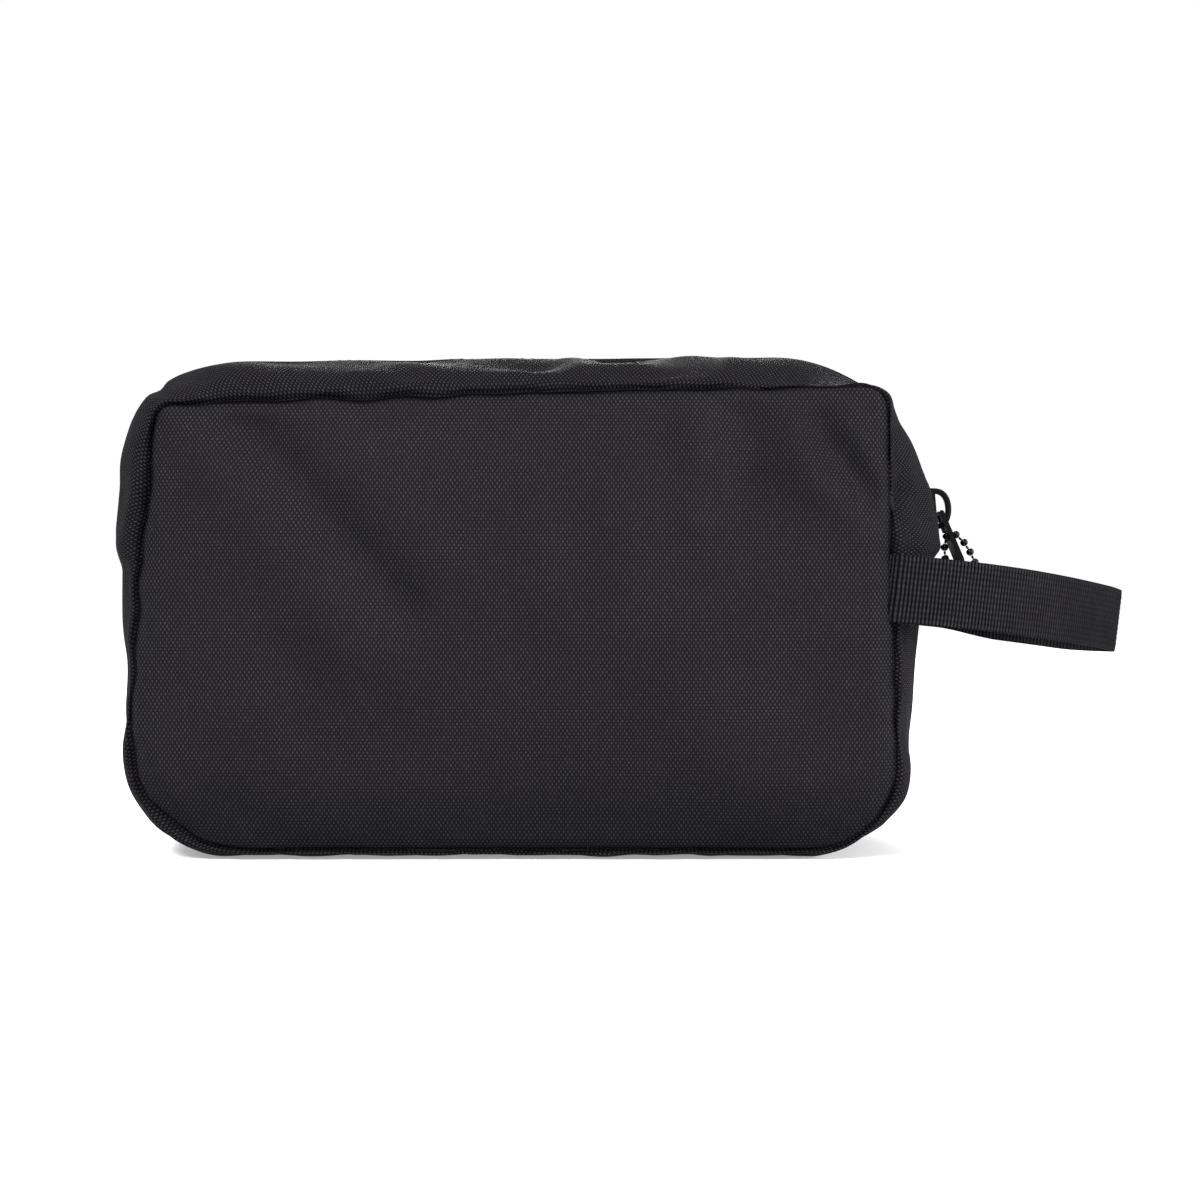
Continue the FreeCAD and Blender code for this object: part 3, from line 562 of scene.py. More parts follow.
class Nodes:
    """A short way to write a material's node tree."""

    def __init__(self, name):
        self.material = bpy.data.materials.new(name)
        self.material.use_nodes = True
        self.tree = self.material.node_tree
        self.shader = self.tree.nodes["Principled BSDF"]

    def add(self, kind, settings=None, output=0, **inputs):
        """A node with its inputs, by name or as i and their number, set or linked; returns one of its outputs."""
        made = self.tree.nodes.new("ShaderNode" + kind)
        for key, value in (settings or {}).items():
            setattr(made, key, value)
        for key, value in inputs.items():
            self.feed(made.inputs[int(key[1:])] if key[0] == "i" and key[1:].isdigit() else made.inputs[key], value)
        return made.outputs[output]

    def feed(self, socket, value):
        if isinstance(value, bpy.types.NodeSocket):
            self.tree.links.new(value, socket)
        else:
            socket.default_value = value

    def math(self, operation, *values):
        return self.add("Math", {"operation": operation}, **{f"i{k}": v for k, v in enumerate(values)})

    def times(self, first, second):
        return self.math("MULTIPLY", first, second)

    def plus(self, first, second):
        return self.math("ADD", first, second)

    def set(self, **values):
        """Values set on the shader's own sockets, or links to them."""
        for key, value in values.items():
            self.feed(self.shader.inputs[key.replace("_", " ")], value)

    def colour(self, factor, dark, light):
        """A mix of two colours; each is three numbers or a link."""
        mix = self.tree.nodes.new("ShaderNodeMix")
        mix.data_type = "RGBA"
        for slot, value in ((0, factor), (6, dark), (7, light)):
            self.feed(mix.inputs[slot], (*value, 1) if isinstance(value, tuple) else value)
        return mix.outputs[2]

    def bump(self, height, depth, strength=1.0):
        return self.add("Bump", Strength=strength, Distance=depth, Height=height)


def weave(name, dark, light, warp_mm, weft_mm, relief_mm, roughness, seed, ribbed=False):
    """Woven cloth: lifted threads over darker gaps, staggered from row to row, or ribs with faint rows across them."""
    n = Nodes(name)
    place = n.add("UVMap", {"uv_map": "cloth"})
    split = n.tree.nodes.new("ShaderNodeSeparateXYZ")
    n.feed(split.inputs[0], place)
    across, along = split.outputs[0], split.outputs[1]
    wander = n.add("TexNoise", Vector=place, Scale=110.0, Detail=2.0)
    wander = n.times(n.math("SUBTRACT", wander, 0.5), 1.1)
    u = n.plus(n.times(across, math.pi / (warp_mm * MM)), wander)
    v = n.plus(n.times(along, math.pi / (weft_mm * MM)), wander)
    if ribbed:
        rows = n.plus(n.times(n.math("POWER", n.math("ABSOLUTE", n.math("SINE", u)), 2.0), 0.45), 0.55)
        both = n.times(n.math("POWER", n.math("ABSOLUTE", n.math("SINE", v)), 2.6), rows)
        # The ribs lie flatter to the eye beside the fold at the strap's tip.
        from_tip = n.math("ABSOLUTE", n.math("SUBTRACT", along, STRAP_MIDDLE * MM))
        flat_part = n.add("MapRange", Value=from_tip, i1=0.015, i2=0.060, i3=0.62, i4=0.0)
        lifted = n.plus(n.times(both, n.math("SUBTRACT", 1.0, flat_part)), n.times(flat_part, 0.27))
    else:
        both = n.times(n.math("SINE", u), n.math("SINE", v))
        lifted = n.math("POWER", n.math("MAXIMUM", both, 0.0), 0.6)
    sunk = n.math("POWER", n.math("MAXIMUM", n.times(both, -1.0), 0.0), 0.6)
    thread = n.math("FLOOR", n.math("DIVIDE", u, math.pi))
    row = n.math("FLOOR", n.math("DIVIDE", v, math.pi))
    cell = n.add("CombineXYZ", X=thread, Y=row, Z=float(seed))
    speck = n.add("TexWhiteNoise", {"noise_dimensions": "3D"}, Vector=cell)
    patch = n.add("TexNoise", Vector=place, Scale=32.0, Detail=4.0, Roughness=0.6)
    fibre = n.add("TexNoise", Vector=place, Scale=5200.0, Detail=3.0, Roughness=0.7)
    shade = n.times(lifted, n.plus(n.times(n.math("POWER", speck, 3.0), 0.3), 0.8))
    shade = n.plus(shade, n.times(sunk, 0.16))
    shade = n.times(shade, n.plus(n.times(patch, 0.7), 0.65))
    shade = n.times(shade, n.plus(n.times(fibre, 0.6), 0.7))
    # Painted shade: where a piece's painted shade attribute is set, in its seams and near the bottom, the colour is
    # mixed towards near black.
    painted_shade = n.add("Attribute", {"attribute_name": "painted_shade"}, "Fac")
    woven = n.colour(n.math("MINIMUM", shade, 1.0), dark, light)
    n.set(Base_Color=n.colour(n.times(painted_shade, 0.96), woven, tuple(c * 0.2 for c in dark)))
    n.set(Roughness=n.plus(n.times(speck, 0.1), roughness), IOR=1.06)
    n.set(Normal=n.bump(n.plus(n.times(lifted, 0.75), n.times(sunk, 0.4)), relief_mm * MM))
    return n.material


def enamel(name, colour, roughness, metallic, seed):
    """Painted or plated metal, or nylon, with faint handling marks."""
    n = Nodes(name)
    place = n.add("TexCoord", output="Object")
    marks = n.add("TexNoise", Vector=place, Scale=900.0 + seed, Detail=5.0, Roughness=0.65)
    spots = n.add("TexNoise", Vector=place, Scale=160.0, Detail=2.0)
    brighter = tuple(min(1.0, c * 1.7 + 0.002) for c in colour)
    n.set(Base_Color=n.colour(n.times(n.times(marks, spots), 1.6), colour, brighter))
    n.set(Roughness=n.plus(n.times(marks, 0.18), roughness), Metallic=metallic, IOR=1.5 if metallic else 1.12)
    n.set(Normal=n.bump(marks, 0.03 * MM, 0.5))
    return n.material


# Where the strap's fold is, along its cloth, in millimetres; then each cloth's colours, threads (warp and weft spacing
# and relief in millimetres), roughness and seed.
STRAP_MIDDLE = 87.0
SHELL_DARK, SHELL_LIGHT = (0.0032, 0.0029, 0.0034), (0.0268, 0.0252, 0.0280)
WALL_DARK, WALL_LIGHT = (0.0010, 0.0009, 0.0012), (0.0262, 0.0243, 0.0275)
shell_cloth = weave("shell_cloth", SHELL_DARK, SHELL_LIGHT, 0.62, 0.914, 0.16, 0.66, 1)
wall_cloth = weave("wall_cloth", WALL_DARK, WALL_LIGHT, 0.62, 1.22, 0.2, 0.66, 6)
lining_cloth = weave("lining_cloth", (0.004, 0.004, 0.005), (0.03, 0.03, 0.034), 0.3, 0.3, 0.05, 0.5, 2)
tape_cloth = weave("tape_cloth", (0.002, 0.002, 0.0024), (0.02, 0.02, 0.022), 0.4, 0.5, 0.08, 0.7, 3)
binding_cloth = weave("binding_cloth", (0.003, 0.003, 0.0035), (0.022, 0.022, 0.024), 0.9, 0.45, 0.12, 0.75, 4)
strap_cloth = weave("strap_cloth", WALL_DARK, (0.0242, 0.0228, 0.0254), 1.6, 1.13, 0.1, 0.6, 5, ribbed=True)
black_enamel = enamel("black_enamel", (0.002, 0.002, 0.0022), 0.42, 0.0, 1)
black_nickel = enamel("black_nickel", (0.009, 0.009, 0.009), 0.22, 1.0, 2)
thread = enamel("thread", (0.006, 0.006, 0.0065), 0.6, 0.0, 4)
nylon = enamel("nylon", (0.003, 0.003, 0.0035), 0.4, 0.0, 3)


# ---- shell pieces


def stretch_of(grid):
    """Cloth coordinates in metres: along the outline in the middle of the wall, and across from one seam."""
    along = lengths(grid, 1).mean(axis=0)
    across = lengths(grid, 0)
    return np.stack(np.broadcast_arrays(along[None], across), axis=-1) * MM


def declare(piece, body, node_names, far=None):
    """Attaches a piece to the body it rides on, or only bakes its transform when it goes with a far body, and hides the
    CAD nodes it stands for.
    """
    if far:
        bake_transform(piece)
    else:
        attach(piece, body)
    if node_names:
        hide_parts(*node_names)


def take(grid, rows, columns):
    """Some lines of the closed wall grid; columns may run past the last one and round to the first."""
    picked = np.arange(columns[0], columns[1] + 1) % grid.shape[1]
    return grid[rows[0] : rows[1] + 1][:, picked]


def shell():
    """The two panels, the lower gusset and the strips on both sides of the zip."""
    for name, grid, stands_for, far in (
        ("rear_panel_cloth", fine_rear, ["rear_panel"], None),
        ("front_panel_cloth", fine_front, ["front_panel_lower", "front_panel_upper"], "flap"),
    ):
        # Painted shade: the panels darken into their seams and towards their bottom edge.
        painted_bottom_shade = BOTTOM_SHADE * (1 - ramp(grid[:, :, 2], *BOTTOM_HEIGHTS))
        painted_shade = np.maximum(seam_painted_shade(grid, edge_distance(grid, PANEL_CELL / FINE), PANEL_SHADE_REACH), painted_bottom_shade)
        uv = grid[:, :, [0, 2]] * MM
        cloth(name, grid, uv, SHELL_THICK, shell_cloth, stands_for, far, painted_shade)
    # Painted shade along the wall's seams.
    from_rear = lengths(fine_wall, 0)
    wall_painted_shade = seam_painted_shade(fine_wall, np.minimum(from_rear, from_rear[-1:] - from_rear), WALL_SHADE_REACH)
    for name, rows, columns, stands_for, flat, far in (
        ("lower_gusset_cloth", (0, LAST), (TOP_COLUMNS, COLUMNS * FINE), "lower_gusset", (0.395, 0.104), None),
        ("rear_strip_cloth", (0, SIDE_LINES), (0, TOP_COLUMNS), "zip_strip_rear", (0.345, 0.048), None),
        ("front_strip_cloth", (LAST - SIDE_LINES, LAST), (0, TOP_COLUMNS), "zip_strip_front", (0.345, 0.048), "flap"),
    ):
        grid, painted_shade = take(fine_wall, rows, columns), take(wall_painted_shade, rows, columns)
        uv = stretch_of(grid)
        cloth(name, grid, uv, SHELL_THICK, wall_cloth, [stands_for], far, painted_shade)


# How far the painted seam shade reaches on the panels and on the wall, how dark the painted shade at the bottom edge
# is, and the heights where that fades.
SHELL_THICK, PANEL_SHADE_REACH, WALL_SHADE_REACH, BOTTOM_SHADE, BOTTOM_HEIGHTS = 0.9, 0.8, 1.9, 0.36, (4, 34)
shell()


# ---- linings and seam bindings


def under(grid, depth):
    """A grid moved towards the inside of the bag."""
    return grid - outwards(grid, grid_normals(grid)) * depth


def inside():
    """The lining behind each part of the shell, and the tape that binds the seam allowances."""
    edge, near = 2 * FINE, SIDE_LINES - FINE
    inner = slice(FINE, -FINE, FINE)
    for name, rows, columns, stands_for, flat, far in (
        ("rear_lining_cloth", fine_rear, None, ["rear_lining"], (0.232, 0.145), None),
        ("front_lining_cloth", fine_front, None, ["front_lining_lower", "front_lining_upper"], (0.232, 0.145), "flap"),
        ("lower_gusset_lining_cloth", (edge, LAST - edge), (TOP_COLUMNS, COLUMNS * FINE), ["lower_gusset_lining"],
         (0.385, 0.098), None),
        ("rear_strip_lining_cloth", (edge, near), (0, TOP_COLUMNS), ["zip_strip_lining_rear"], (0.335, 0.037), None),
        ("front_strip_lining_cloth", (LAST - near, LAST - edge), (0, TOP_COLUMNS), ["zip_strip_lining_front"],
         (0.335, 0.037), "flap"),
    ):
        if columns is None:
            sheet = under(rows[inner, inner], LINING_DEPTH)
            uv = sheet[:, :, [0, 2]] * MM
        else:
            sheet = under(take(fine_wall, rows, columns)[::FINE, ::FINE], LINING_DEPTH)
            uv = stretch_of(sheet)
        cloth(name, sheet, uv, LINING_THICK, lining_cloth, stands_for, far)
    for name, row, side, stands_for, far in (
        ("rear_binding_tape", 0, 1, ["seam_binding_rear"], None),
        ("front_binding_tape", LAST, -1, ["seam_binding_front_lower", "seam_binding_front_upper"], "flap"),
    ):
        seam = plain_wall[row, ::2]
        inward = -wall_normals(plain_wall)[0, ::2]
        seam, inward = join([seam, seam[:1]]), join([inward, inward[:1]])
        made = np.empty((len(BINDING_PROFILE), len(seam), 3))
        for r, (inset, deep) in enumerate(BINDING_PROFILE):
            made[r, :, [0, 2]] = (seam[:, [0, 2]] + inward * inset).T
            made[r, :, 1] = seam[:, 1] + side * deep
        uv = stretch_of(made)
        cloth(name, made, uv, BINDING_THICK, binding_cloth, stands_for, far)


LINING_DEPTH, LINING_THICK, BINDING_THICK = 1.5, 0.3, 0.35
# The binding folded round a seam allowance: inset from the seam line, and depth below the seam.
BINDING_PROFILE = [(2.0, 1.3), (4.0, 1.2), (6.4, 1.25), (7.2, 1.6), (7.3, 2.0), (6.9, 2.5), (4.5, 2.6), (2.2, 2.5)]
inside()


# ---- places beside the zip


ACROSS = np.arange(-15.0, 15.5, 1.0)
zip_wall = plain_wall[:, : TOP_COLUMNS + 1]
zip_table = np.stack([
    np.stack([np.interp(ACROSS, zip_wall[:, c, 1], zip_wall[:, c, k]) for c in range(TOP_COLUMNS + 1)], axis=1)
    for k in (0, 2)
], axis=2)
zip_out = np.array(wall_normals(plain_wall)[0, : TOP_COLUMNS + 1])
zip_middle = zip_table[len(ACROSS) // 2]
zip_length = running_length(zip_middle)


def beside_zip(along, across, inset):
    """Places by length along the zip from its right end, distance across from its middle, and depth, in mm."""
    along, across, inset = (np.asarray(v, float) for v in np.broadcast_arrays(along, across, inset))
    column = np.clip(np.interp(along, zip_length, np.arange(TOP_COLUMNS + 1)), 0, TOP_COLUMNS - 1e-6)
    row = np.clip(across - ACROSS[0], 0, len(ACROSS) - 1.001)
    i, j = column.astype(int), row.astype(int)
    f, g = (column - i)[..., None], (row - j)[..., None]
    flat = (
        zip_table[j, i] * (1 - f) * (1 - g) + zip_table[j, i + 1] * f * (1 - g)
        + zip_table[j + 1, i] * (1 - f) * g + zip_table[j + 1, i + 1] * f * g
    )
    out = zip_out[i] * (1 - f) + zip_out[i + 1] * f
    flat = flat - out * inset[..., None]
    return np.stack([flat[..., 0], across, flat[..., 1]], axis=-1)


def height_along(height, right=True):
    """Length along the zip at which it passes a height, near one of its ends."""
    heights = zip_middle[:, 1]
    half = TOP_COLUMNS // 2
    if right:
        return float(np.interp(height, heights[:half], zip_length[:half]))
    return float(np.interp(-height, -heights[half:], zip_length[half:]))


def sweep(path, first_axis, profile):
    """Points and faces of a profile carried along a path; each profile point is (along first_axis, across it)."""
    tangent = unit(np.gradient(path, axis=0))
    first = unit(first_axis - (first_axis * tangent).sum(axis=1, keepdims=True) * tangent)
    second = np.cross(tangent, first)
    profile = np.asarray(profile, float)
    points = path[:, None] + first[:, None] * profile[None, :, :1] + second[:, None] * profile[None, :, 1:]
    return points.reshape(-1, 3), tube_faces(len(path), len(profile))


def circle(radius, sides):
    angles = np.arange(sides) / sides * 2 * math.pi
    return np.stack([np.cos(angles), np.sin(angles)], axis=1) * radius


# ---- zip: tapes, coils, end tabs


def zip_tape(name, side):
    """Half of the zip's tape, bent down under its coil at the inner edge."""
    along = np.linspace(0.0, zip_length[-1], 340)[None]
    across = np.array([11.5, 9.5, 7.6, 6.0, 5.2, 4.6, 4.0, 3.4, 2.6, 1.6, 0.5])[:, None]
    grid = beside_zip(along, side * across, 2.3 + 1.35 * (1 - ramp(across, 3.2, 5.0)))
    uv = stretch_of(grid)
    cloth(f"{name}_cloth", grid, uv, TAPE_THICK, tape_cloth, [name], FAR_BODY[side])


def coil_rise(along):
    """How far the coil rises into the slider's channel where the slider stops on the right corner."""
    limit = zip_length[np.argmin(np.abs(zip_middle[:, 0] - SLIDER_LIMIT_X))]
    return COIL_RISE * (1 - ramp(np.abs(along - limit), *COIL_RISE_REACH))


def zip_coil(name, side, start):
    """One side's coil: a monofilament wound in a flattened helix, its heads at the zip's middle line."""
    end = height_along(END_TAB_TOP, right=False)
    turns = int((end - start) / COIL_PITCH)
    phase = np.linspace(0, turns * 2 * math.pi, turns * 12 + 1)
    along = start + phase / (2 * math.pi) * COIL_PITCH + (COIL_PITCH / 2 if side > 0 else 0)
    head = np.cos(phase)
    reach = COIL_FAR - (COIL_FAR - COIL_HEAD) * (head + 1) / 2
    parted = 0.7 * (1 - ramp(along, PARKED_LOW, PARKED_HIGH)) if side < 0 else 0.0
    depth = COIL_DEPTH - COIL_HALF * np.sin(phase) * (1 + 0.25 * ramp(head, 0.4, 1.0)) - coil_rise(along)
    path = beside_zip(along, side * (reach + parted), depth)
    toward = beside_zip(along + 0.5, 0.0, 2.0) - beside_zip(along - 0.5, 0.0, 2.0)
    points, faces = sweep(path, toward, circle(COIL_WIRE, 6))
    declare(mesh_object(f"{name}_nylon", points, faces, nylon), "bag", [name], far=FAR_BODY[side])


def zip_thread(name, side):
    """The row of stitches that holds a coil on its tape."""
    along = np.arange(PARKED_HIGH + 5.8, height_along(END_TAB_TOP, right=False), COIL_PITCH * 2)
    inset = COIL_DEPTH - COIL_HALF - COIL_WIRE - coil_rise(along)
    stitches(name, along, side, COIL_FAR - 0.9, inset, 2.2, 0.2)


def stitches(name, along, side, across, inset, length, radius):
    """A row of stitches beside the zip: short rounded threads whose ends dive into the cloth."""
    across = side * across
    place = beside_zip(along, across, inset)
    ahead = unit(beside_zip(along + 0.4, across, inset) - beside_zip(along - 0.4, across, inset))
    aside = unit(np.cross(ahead, beside_zip(along, across, np.asarray(inset) - 1.0) - place))
    out = np.cross(aside, ahead)
    spots = np.array([-0.98, -0.8, -0.4, 0, 0.4, 0.8, 0.98])
    sides = 6
    ring = np.sqrt(1 - spots**2)[:, None, None] ** 0.6 * circle(radius, sides)
    shape = np.stack([
        np.repeat(spots * length / 2, sides), ring[:, :, 0].ravel(),
        ring[:, :, 1].ravel() + np.repeat(radius * (0.5 - 1.4 * spots**2), sides),
    ], axis=1)
    points = place[:, None] + np.einsum("kc,ncx->nkx", shape, np.stack([ahead, aside, out], axis=1))
    faces = [f for n in range(len(place)) for f in tube_faces(len(spots), sides, n * len(shape))]
    piece = mesh_object(name, points.reshape(-1, 3), faces, thread)
    declare(piece, "bag", [], far=FAR_BODY[side])


def end_tab(name, right):
    """The folded fabric tab over one end of the zip."""
    low, high = height_along(FOLD_HEIGHT + 0.1, right), height_along(END_TAB_TOP - 0.1, right)
    along = np.linspace(min(low, high), max(low, high), 15)[None]
    across = np.linspace(-6.6, 6.6, 25)[:, None]
    reach = np.abs(along - low) / abs(high - low)
    edge = ramp(1 - np.abs(across) / 6.6, 0, 0.12) * ramp(1 - reach, 0, 0.18)
    inset = 2.0 - 0.75 * edge - 0.2 * np.cos(across * 0.8) * edge
    grid = beside_zip(along, across, inset)
    uv = stretch_of(grid)
    cloth(f"{name}_cloth", grid, uv, TAB_THICK, wall_cloth, [name])


# Heights of an end tab's fold and of its top; then the coil's pitch, how far from the zip's middle its far side and its
# heads lie, its depth under the strips, half its height and its wire's radius; and its rise at the slider's limit.
FOLD_HEIGHT, END_TAB_TOP, TAPE_THICK, TAB_THICK = 87.0, 94.0, 0.45, 0.6
COIL_PITCH, COIL_FAR, COIL_HEAD, COIL_DEPTH, COIL_HALF, COIL_WIRE = 1.3, 3.2, -0.15, 2.7, 0.62, 0.3
SLIDER_LIMIT_X, COIL_RISE, COIL_RISE_REACH = 84.6, 0.8, (9, 22)
slider_box = [[v / MM for v in corner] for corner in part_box("slider_body")]
PARKED_LOW, PARKED_HIGH = height_along(slider_box[0][2] + 1.0), height_along(slider_box[1][2] - 4.0)


def fastening():
    """The whole zip, less its metal."""
    zip_tape("zip_tape_rear", -1)
    zip_tape("zip_tape_front", 1)
    zip_coil("zip_coil_rear", -1, height_along(END_TAB_TOP))
    zip_coil("zip_coil_front", 1, PARKED_HIGH)
    zip_thread("coil_thread_rear", -1)
    zip_thread("coil_thread_front", 1)
    end_tab("zip_end_tab_right", True)
    end_tab("zip_end_tab_left", False)
    hem = np.arange(2.0, zip_length[-1] - 2.0, HEM_STITCH)
    for name, side in (("rear_hem_stitches", -1), ("front_hem_stitches", 1)):
        stitches(name, hem, side, ZIP_HALF + 3.1, 0.1, HEM_STITCH - 0.7, 0.26)


# The rear half of the zip rides on the bag alone; the front half belongs to the flap, and its pieces only have their
# transforms baked.
FAR_BODY = {-1: None, 1: "flap"}
HEM_STITCH = 3.1
fastening()


# ---- metal: slider, pull tab, chain


def rounded_box(wide, high, corner, steps=4):
    """The outline of a bar with rounded corners."""
    points = []
    for quarter, (sx, sz) in enumerate(((1, 1), (-1, 1), (-1, -1), (1, -1))):
        for k in range(steps + 1):
            angle = (quarter + k / steps) * math.pi / 2
            points.append((sx * (wide / 2 - corner) + corner * math.cos(angle),
                           sz * (high / 2 - corner) + corner * math.sin(angle)))
    return points


def slider_bridge():
    """The slider's arched bridge: a flat bar bent into a C, standing on the upper plate."""
    low, high = (np.array(corner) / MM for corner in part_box("slider_crown"))
    middle, half = (low[2] + high[2]) / 2 + 0.6, (high[2] - low[2]) / 2 - 0.3
    foot, top = low[0] - 0.2, high[0] - 0.6
    lean = math.radians(3.6)
    angle = np.linspace(-math.pi / 2, math.pi / 2, 41)
    out = foot + (top - foot) * np.cos(angle) ** 0.6
    up = middle + half * np.sin(angle) * (1 - 0.04 * np.cos(angle))
    shift = (up - middle) * math.tan(lean)
    path = np.stack([out - shift * 0.3, np.zeros_like(out), up], axis=1)
    path = join([path[:1] - [[0.8, 0, 0]], path, path[-1:] - [[0.8, 0, 0]]])
    inner = np.tile([[0.0, 1.0, 0.0]], (len(path), 1))
    points, faces = sweep(path, inner, rounded_box(2.5, 1.7, 0.6))
    declare(mesh_object("slider_bridge", points, faces, black_enamel), "slider", ["slider_crown"])


def chain_balls():
    """Hollow balls of the chain, each with a rim where its wire goes in at both ends."""
    data = nodes["chain_beads"].data
    places = np.array([v.co for v in data.vertices]) / MM
    edges = np.array([e.vertices for e in data.edges])
    # Every vertex takes the least label among its neighbours until each bead has one label of its own.
    label, least = None, np.arange(len(places))
    while label is None or (least != label).any():
        label = least
        least = label.copy()
        np.minimum.at(least, edges[:, 0], label[edges[:, 1]])
        np.minimum.at(least, edges[:, 1], label[edges[:, 0]])
    beads = [places[label == k] for k in np.unique(label)]
    centres = np.array([(own.min(axis=0) + own.max(axis=0)) / 2 for own in beads])
    radius = max((own.max(axis=0) - own.min(axis=0)).max() / 2 for own in beads)
    turn = np.linspace(0, math.pi, 15)
    profile = np.stack([-radius * np.cos(turn), radius * np.sin(turn)], axis=1)
    hole, sides = 0.45, 18
    rim = math.sqrt(radius**2 - hole**2) - 0.25
    profile = join([[(-rim, hole - 0.08)], profile[profile[:, 1] > hole], [(rim, hole - 0.08)]])
    spin = np.arange(sides) / sides * 2 * math.pi
    points, faces = [], []
    for centre in centres:
        near = centres[np.argsort(norm(centres - centre, axis=1))[1:3]]
        axis = unit(near[0] - (near[1] if (near[0] - centre) @ (near[1] - centre) < 0 else centre))
        one = unit(np.cross(axis, [0.31, 0.74, 0.6]))
        two = np.cross(axis, one)
        around = np.cos(spin)[None, :, None] * one + np.sin(spin)[None, :, None] * two
        faces += tube_faces(len(profile), sides, len(points))
        points.extend((centre + profile[:, :1, None] * axis + profile[:, 1:, None] * around).reshape(-1, 3))
    declare(mesh_object("ball_chain_balls", points, faces, black_nickel), "chain", ["chain_beads"])


def finish_metal():
    """Rounded edges and plated or painted finishes for the CAD parts that stay."""
    for name, material, width in (
        ("slider_body", black_enamel, 0.3), ("slider_lock_spring", black_nickel, 0.08), ("pull_tab", black_enamel, 0.4),
        ("chain_wires", black_nickel, 0.0), ("chain_clasp", black_nickel, 0.12),
    ):
        item = nodes[name]
        item.data.materials.clear()
        item.data.materials.append(material)
        if width:
            edge = item.modifiers.new("worn_edge", "BEVEL")
            edge.width = width * MM
            edge.segments = 3
            edge.limit_method = "ANGLE"
            edge.angle_limit = math.radians(35)
            edge.harden_normals = False


def zip_stop(name, right):
    """A flat wire staple crimped over both coils above an end tab."""
    along = height_along(END_TAB_TOP + 0.9, right)
    across = np.linspace(-STOP_HALF, STOP_HALF, 31)
    inset = STOP_INSET + 1.5 * ramp(np.abs(across), STOP_HALF - 1.1, STOP_HALF)
    path = beside_zip(along, across, inset)
    ahead = beside_zip(along + 0.4, across, inset) - beside_zip(along - 0.4, across, inset)
    points, faces = sweep(path, ahead, rounded_box(1.5, 0.6, 0.22))
    declare(mesh_object(name, points, faces, black_nickel), "bag", ["zip_stops"])


STOP_HALF, STOP_INSET = 3.6, 1.75
zip_stop("zip_stop_right", True)
zip_stop("zip_stop_left", False)
slider_bridge()
chain_balls()
finish_metal()


# ---- webbing loop


def bezier(points, count):
    """count + 1 places on a cubic curve."""
    t = np.linspace(0, 1, count + 1)[:, None]
    a, b, c, d = (np.array(p, float) for p in points)
    return a * (1 - t) ** 3 + 3 * b * t * (1 - t) ** 2 + 3 * c * t**2 * (1 - t) + d * t**3


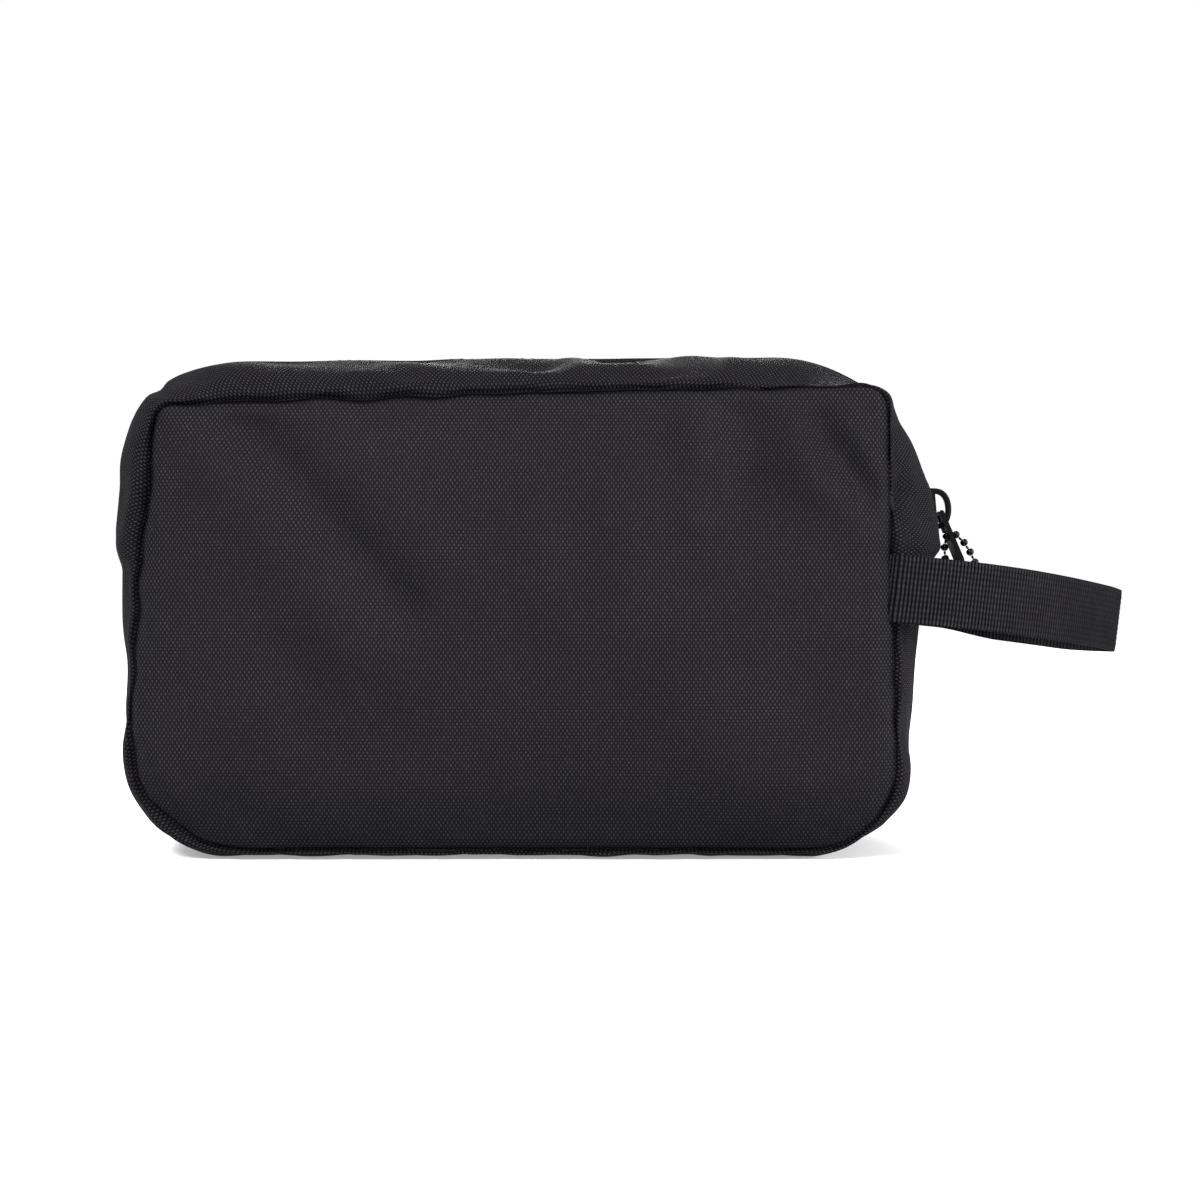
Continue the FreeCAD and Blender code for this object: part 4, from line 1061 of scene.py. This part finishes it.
def strap():
    """One length of webbing: out of the rear seam, round a loose fold at the tip and back into the front seam."""
    tip, fold = np.array([STRAP_REACH, STRAP_TIP_DEPTH]), STRAP_FOLD
    rear_turn, front_turn = math.radians(48), math.radians(42)
    rear_end = tip + fold * np.array([math.sin(rear_turn), -math.cos(rear_turn)])
    front_end = tip + fold * np.array([math.sin(front_turn), math.cos(front_turn)])
    rear_pull = rear_end - 30 * np.array([math.cos(rear_turn), math.sin(rear_turn)])
    front_pull = front_end - 30 * np.array([math.cos(front_turn), -math.sin(front_turn)])
    rear_leg = bezier([(0, -STRAP_DEPTH), (34, -STRAP_DEPTH), rear_pull, rear_end], 200)
    front_leg = bezier([front_end, front_pull, (34, STRAP_DEPTH), (0, STRAP_DEPTH)], 200)
    bend = np.linspace(rear_turn - math.pi / 2, math.pi / 2 - front_turn, 24)[1:-1]
    around = tip + fold * np.stack([np.cos(bend), np.sin(bend)], axis=1)
    line = join([rear_leg, around, front_leg])
    line[:, 1] *= 1 - 0.05 * (1 - ramp(line[:, 0], 0, 3.5))
    line[:, 0] -= 0.8
    along = running_length(line)
    count = int(along[-1] / STRAP_RIB * 6)
    at = np.linspace(0, along[-1], count + 1)
    line = np.stack([np.interp(at, along, line[:, k]) for k in range(2)], axis=1)
    slope = unit(blurred(np.gradient(line, axis=0)[:, None, :], 8)[:, 0])
    outward = np.stack([slope[:, 1], -slope[:, 0]], axis=1)
    drop = STRAP_SAG * ramp(line[:, 0], 30, 50) * ramp(at, along[-1] * 0.47, along[-1] * 0.62)
    twist = 0.03 * np.sin(at / along[-1] * math.pi)

    half, thick = STRAP_WIDTH / 2, STRAP_THICK / 2
    face = np.linspace(-0.97, 0.97, 49) * half
    selvedge = ramp(np.abs(face), half - 1.7, half - 1.3)
    round_edge = np.sqrt(np.maximum(0, 1 - (np.maximum(np.abs(face) - (half - 0.8), 0) / 0.8) ** 2))
    rib = 0.5 - 0.5 * np.cos(2 * math.pi * at / STRAP_RIB)[:, None]
    warp = 0.5 - 0.5 * np.cos(2 * math.pi * face / STRAP_ROW)[None]
    relief = (0.26 * rib * (1 - 0.5 * selvedge) + 0.10 * warp * (1 - selvedge) + 0.08 * selvedge) * round_edge
    height = (thick - 0.2) * (0.35 + 0.65 * round_edge)[None] + relief
    rows = join([height, -height[:, ::-1]], axis=1)
    across = join([face, face[::-1]])[None] + np.zeros_like(rows)
    flat = line[:, None] + outward[:, None] * rows[:, :, None]
    arch = STRAP_ARCH * np.sin(np.clip(line[:, 0] / STRAP_REACH, 0, 1) * math.pi)
    upward = across + (arch - drop)[:, None] + twist[:, None] * rows
    angle = math.radians(STRAP_DROOP)
    x = STRAP_ROOT + flat[:, :, 0] * math.cos(angle) + upward * math.sin(angle)
    z = STRAP_HEIGHT - flat[:, :, 0] * math.sin(angle) + upward * math.cos(angle)
    points = np.stack([x, flat[:, :, 1], z], axis=-1)
    faces = tube_faces(*points.shape[:2])
    uv = np.stack([across, at[:, None] + np.zeros_like(across)], axis=-1) * MM
    piece = mesh_object("handle_strap", points.reshape(-1, 3), faces, strap_cloth, uv.reshape(-1, 2))
    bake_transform(piece)
    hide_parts("handle_webbing")


STRAP_ROOT, STRAP_HEIGHT, STRAP_DEPTH, STRAP_REACH, STRAP_TIP_DEPTH = 105.0, 78.0, 42.0, 79.0, 7.5
STRAP_FOLD, STRAP_WIDTH, STRAP_THICK, STRAP_DROOP, STRAP_SAG, STRAP_ARCH = 2.0, 20.0, 1.5, 6.8, 1.9, 0.9
STRAP_RIB, STRAP_ROW = 1.13, 1.6
strap()


# ---- camera, floor and light


def stage():
    """A level camera square to the rear panel, a pale floor and soft studio light."""
    camera_data = bpy.data.cameras.new("camera")
    camera_data.sensor_width = 36.0
    camera_data.lens = 50.4
    camera = linked("camera", camera_data)
    camera.location = (0.0225, -0.5205, 0.0746)
    camera.rotation_euler = (math.pi / 2, 0, 0)
    bpy.context.scene.camera = camera

    white = Nodes("pale_floor")
    white.set(Base_Color=(0.72, 0.72, 0.72, 1), Roughness=0.9, Emission_Color=(1, 1, 1, 1), Emission_Strength=0.3)
    side = 4000.0
    corners = [(-side, -side, 0), (side, -side, 0), (side, side, 0), (-side, side, 0)]
    floor = mesh_object("floor", corners, [(0, 1, 2, 3)], white.material)

    world = bpy.data.worlds.new("studio")
    world.use_nodes = True
    background = world.node_tree.nodes["Background"]
    background.inputs["Color"].default_value = (1, 1, 1, 1)
    background.inputs["Strength"].default_value = 1.0
    bpy.context.scene.world = world
    bpy.context.scene.view_settings.view_transform = "Standard"
    target = Vector((0.0, 0.0, 0.07))
    for name, place, size, power in (
        ("key_light", (-0.8, -1.4, 1.6), 0.6, 73.0),
        ("fill_light", (1.8, -0.8, 0.5), 0.8, 60.0),
        ("back_light", (0.0, 2.0, 0.9), 0.6, 30.0),
    ):
        data = bpy.data.lights.new(name, "AREA")
        data.size = size
        data.energy = power
        light = linked(name, data)
        light.location = place
        light.rotation_euler = (target - Vector(place)).to_track_quat("-Z", "Y").to_euler()


stage()
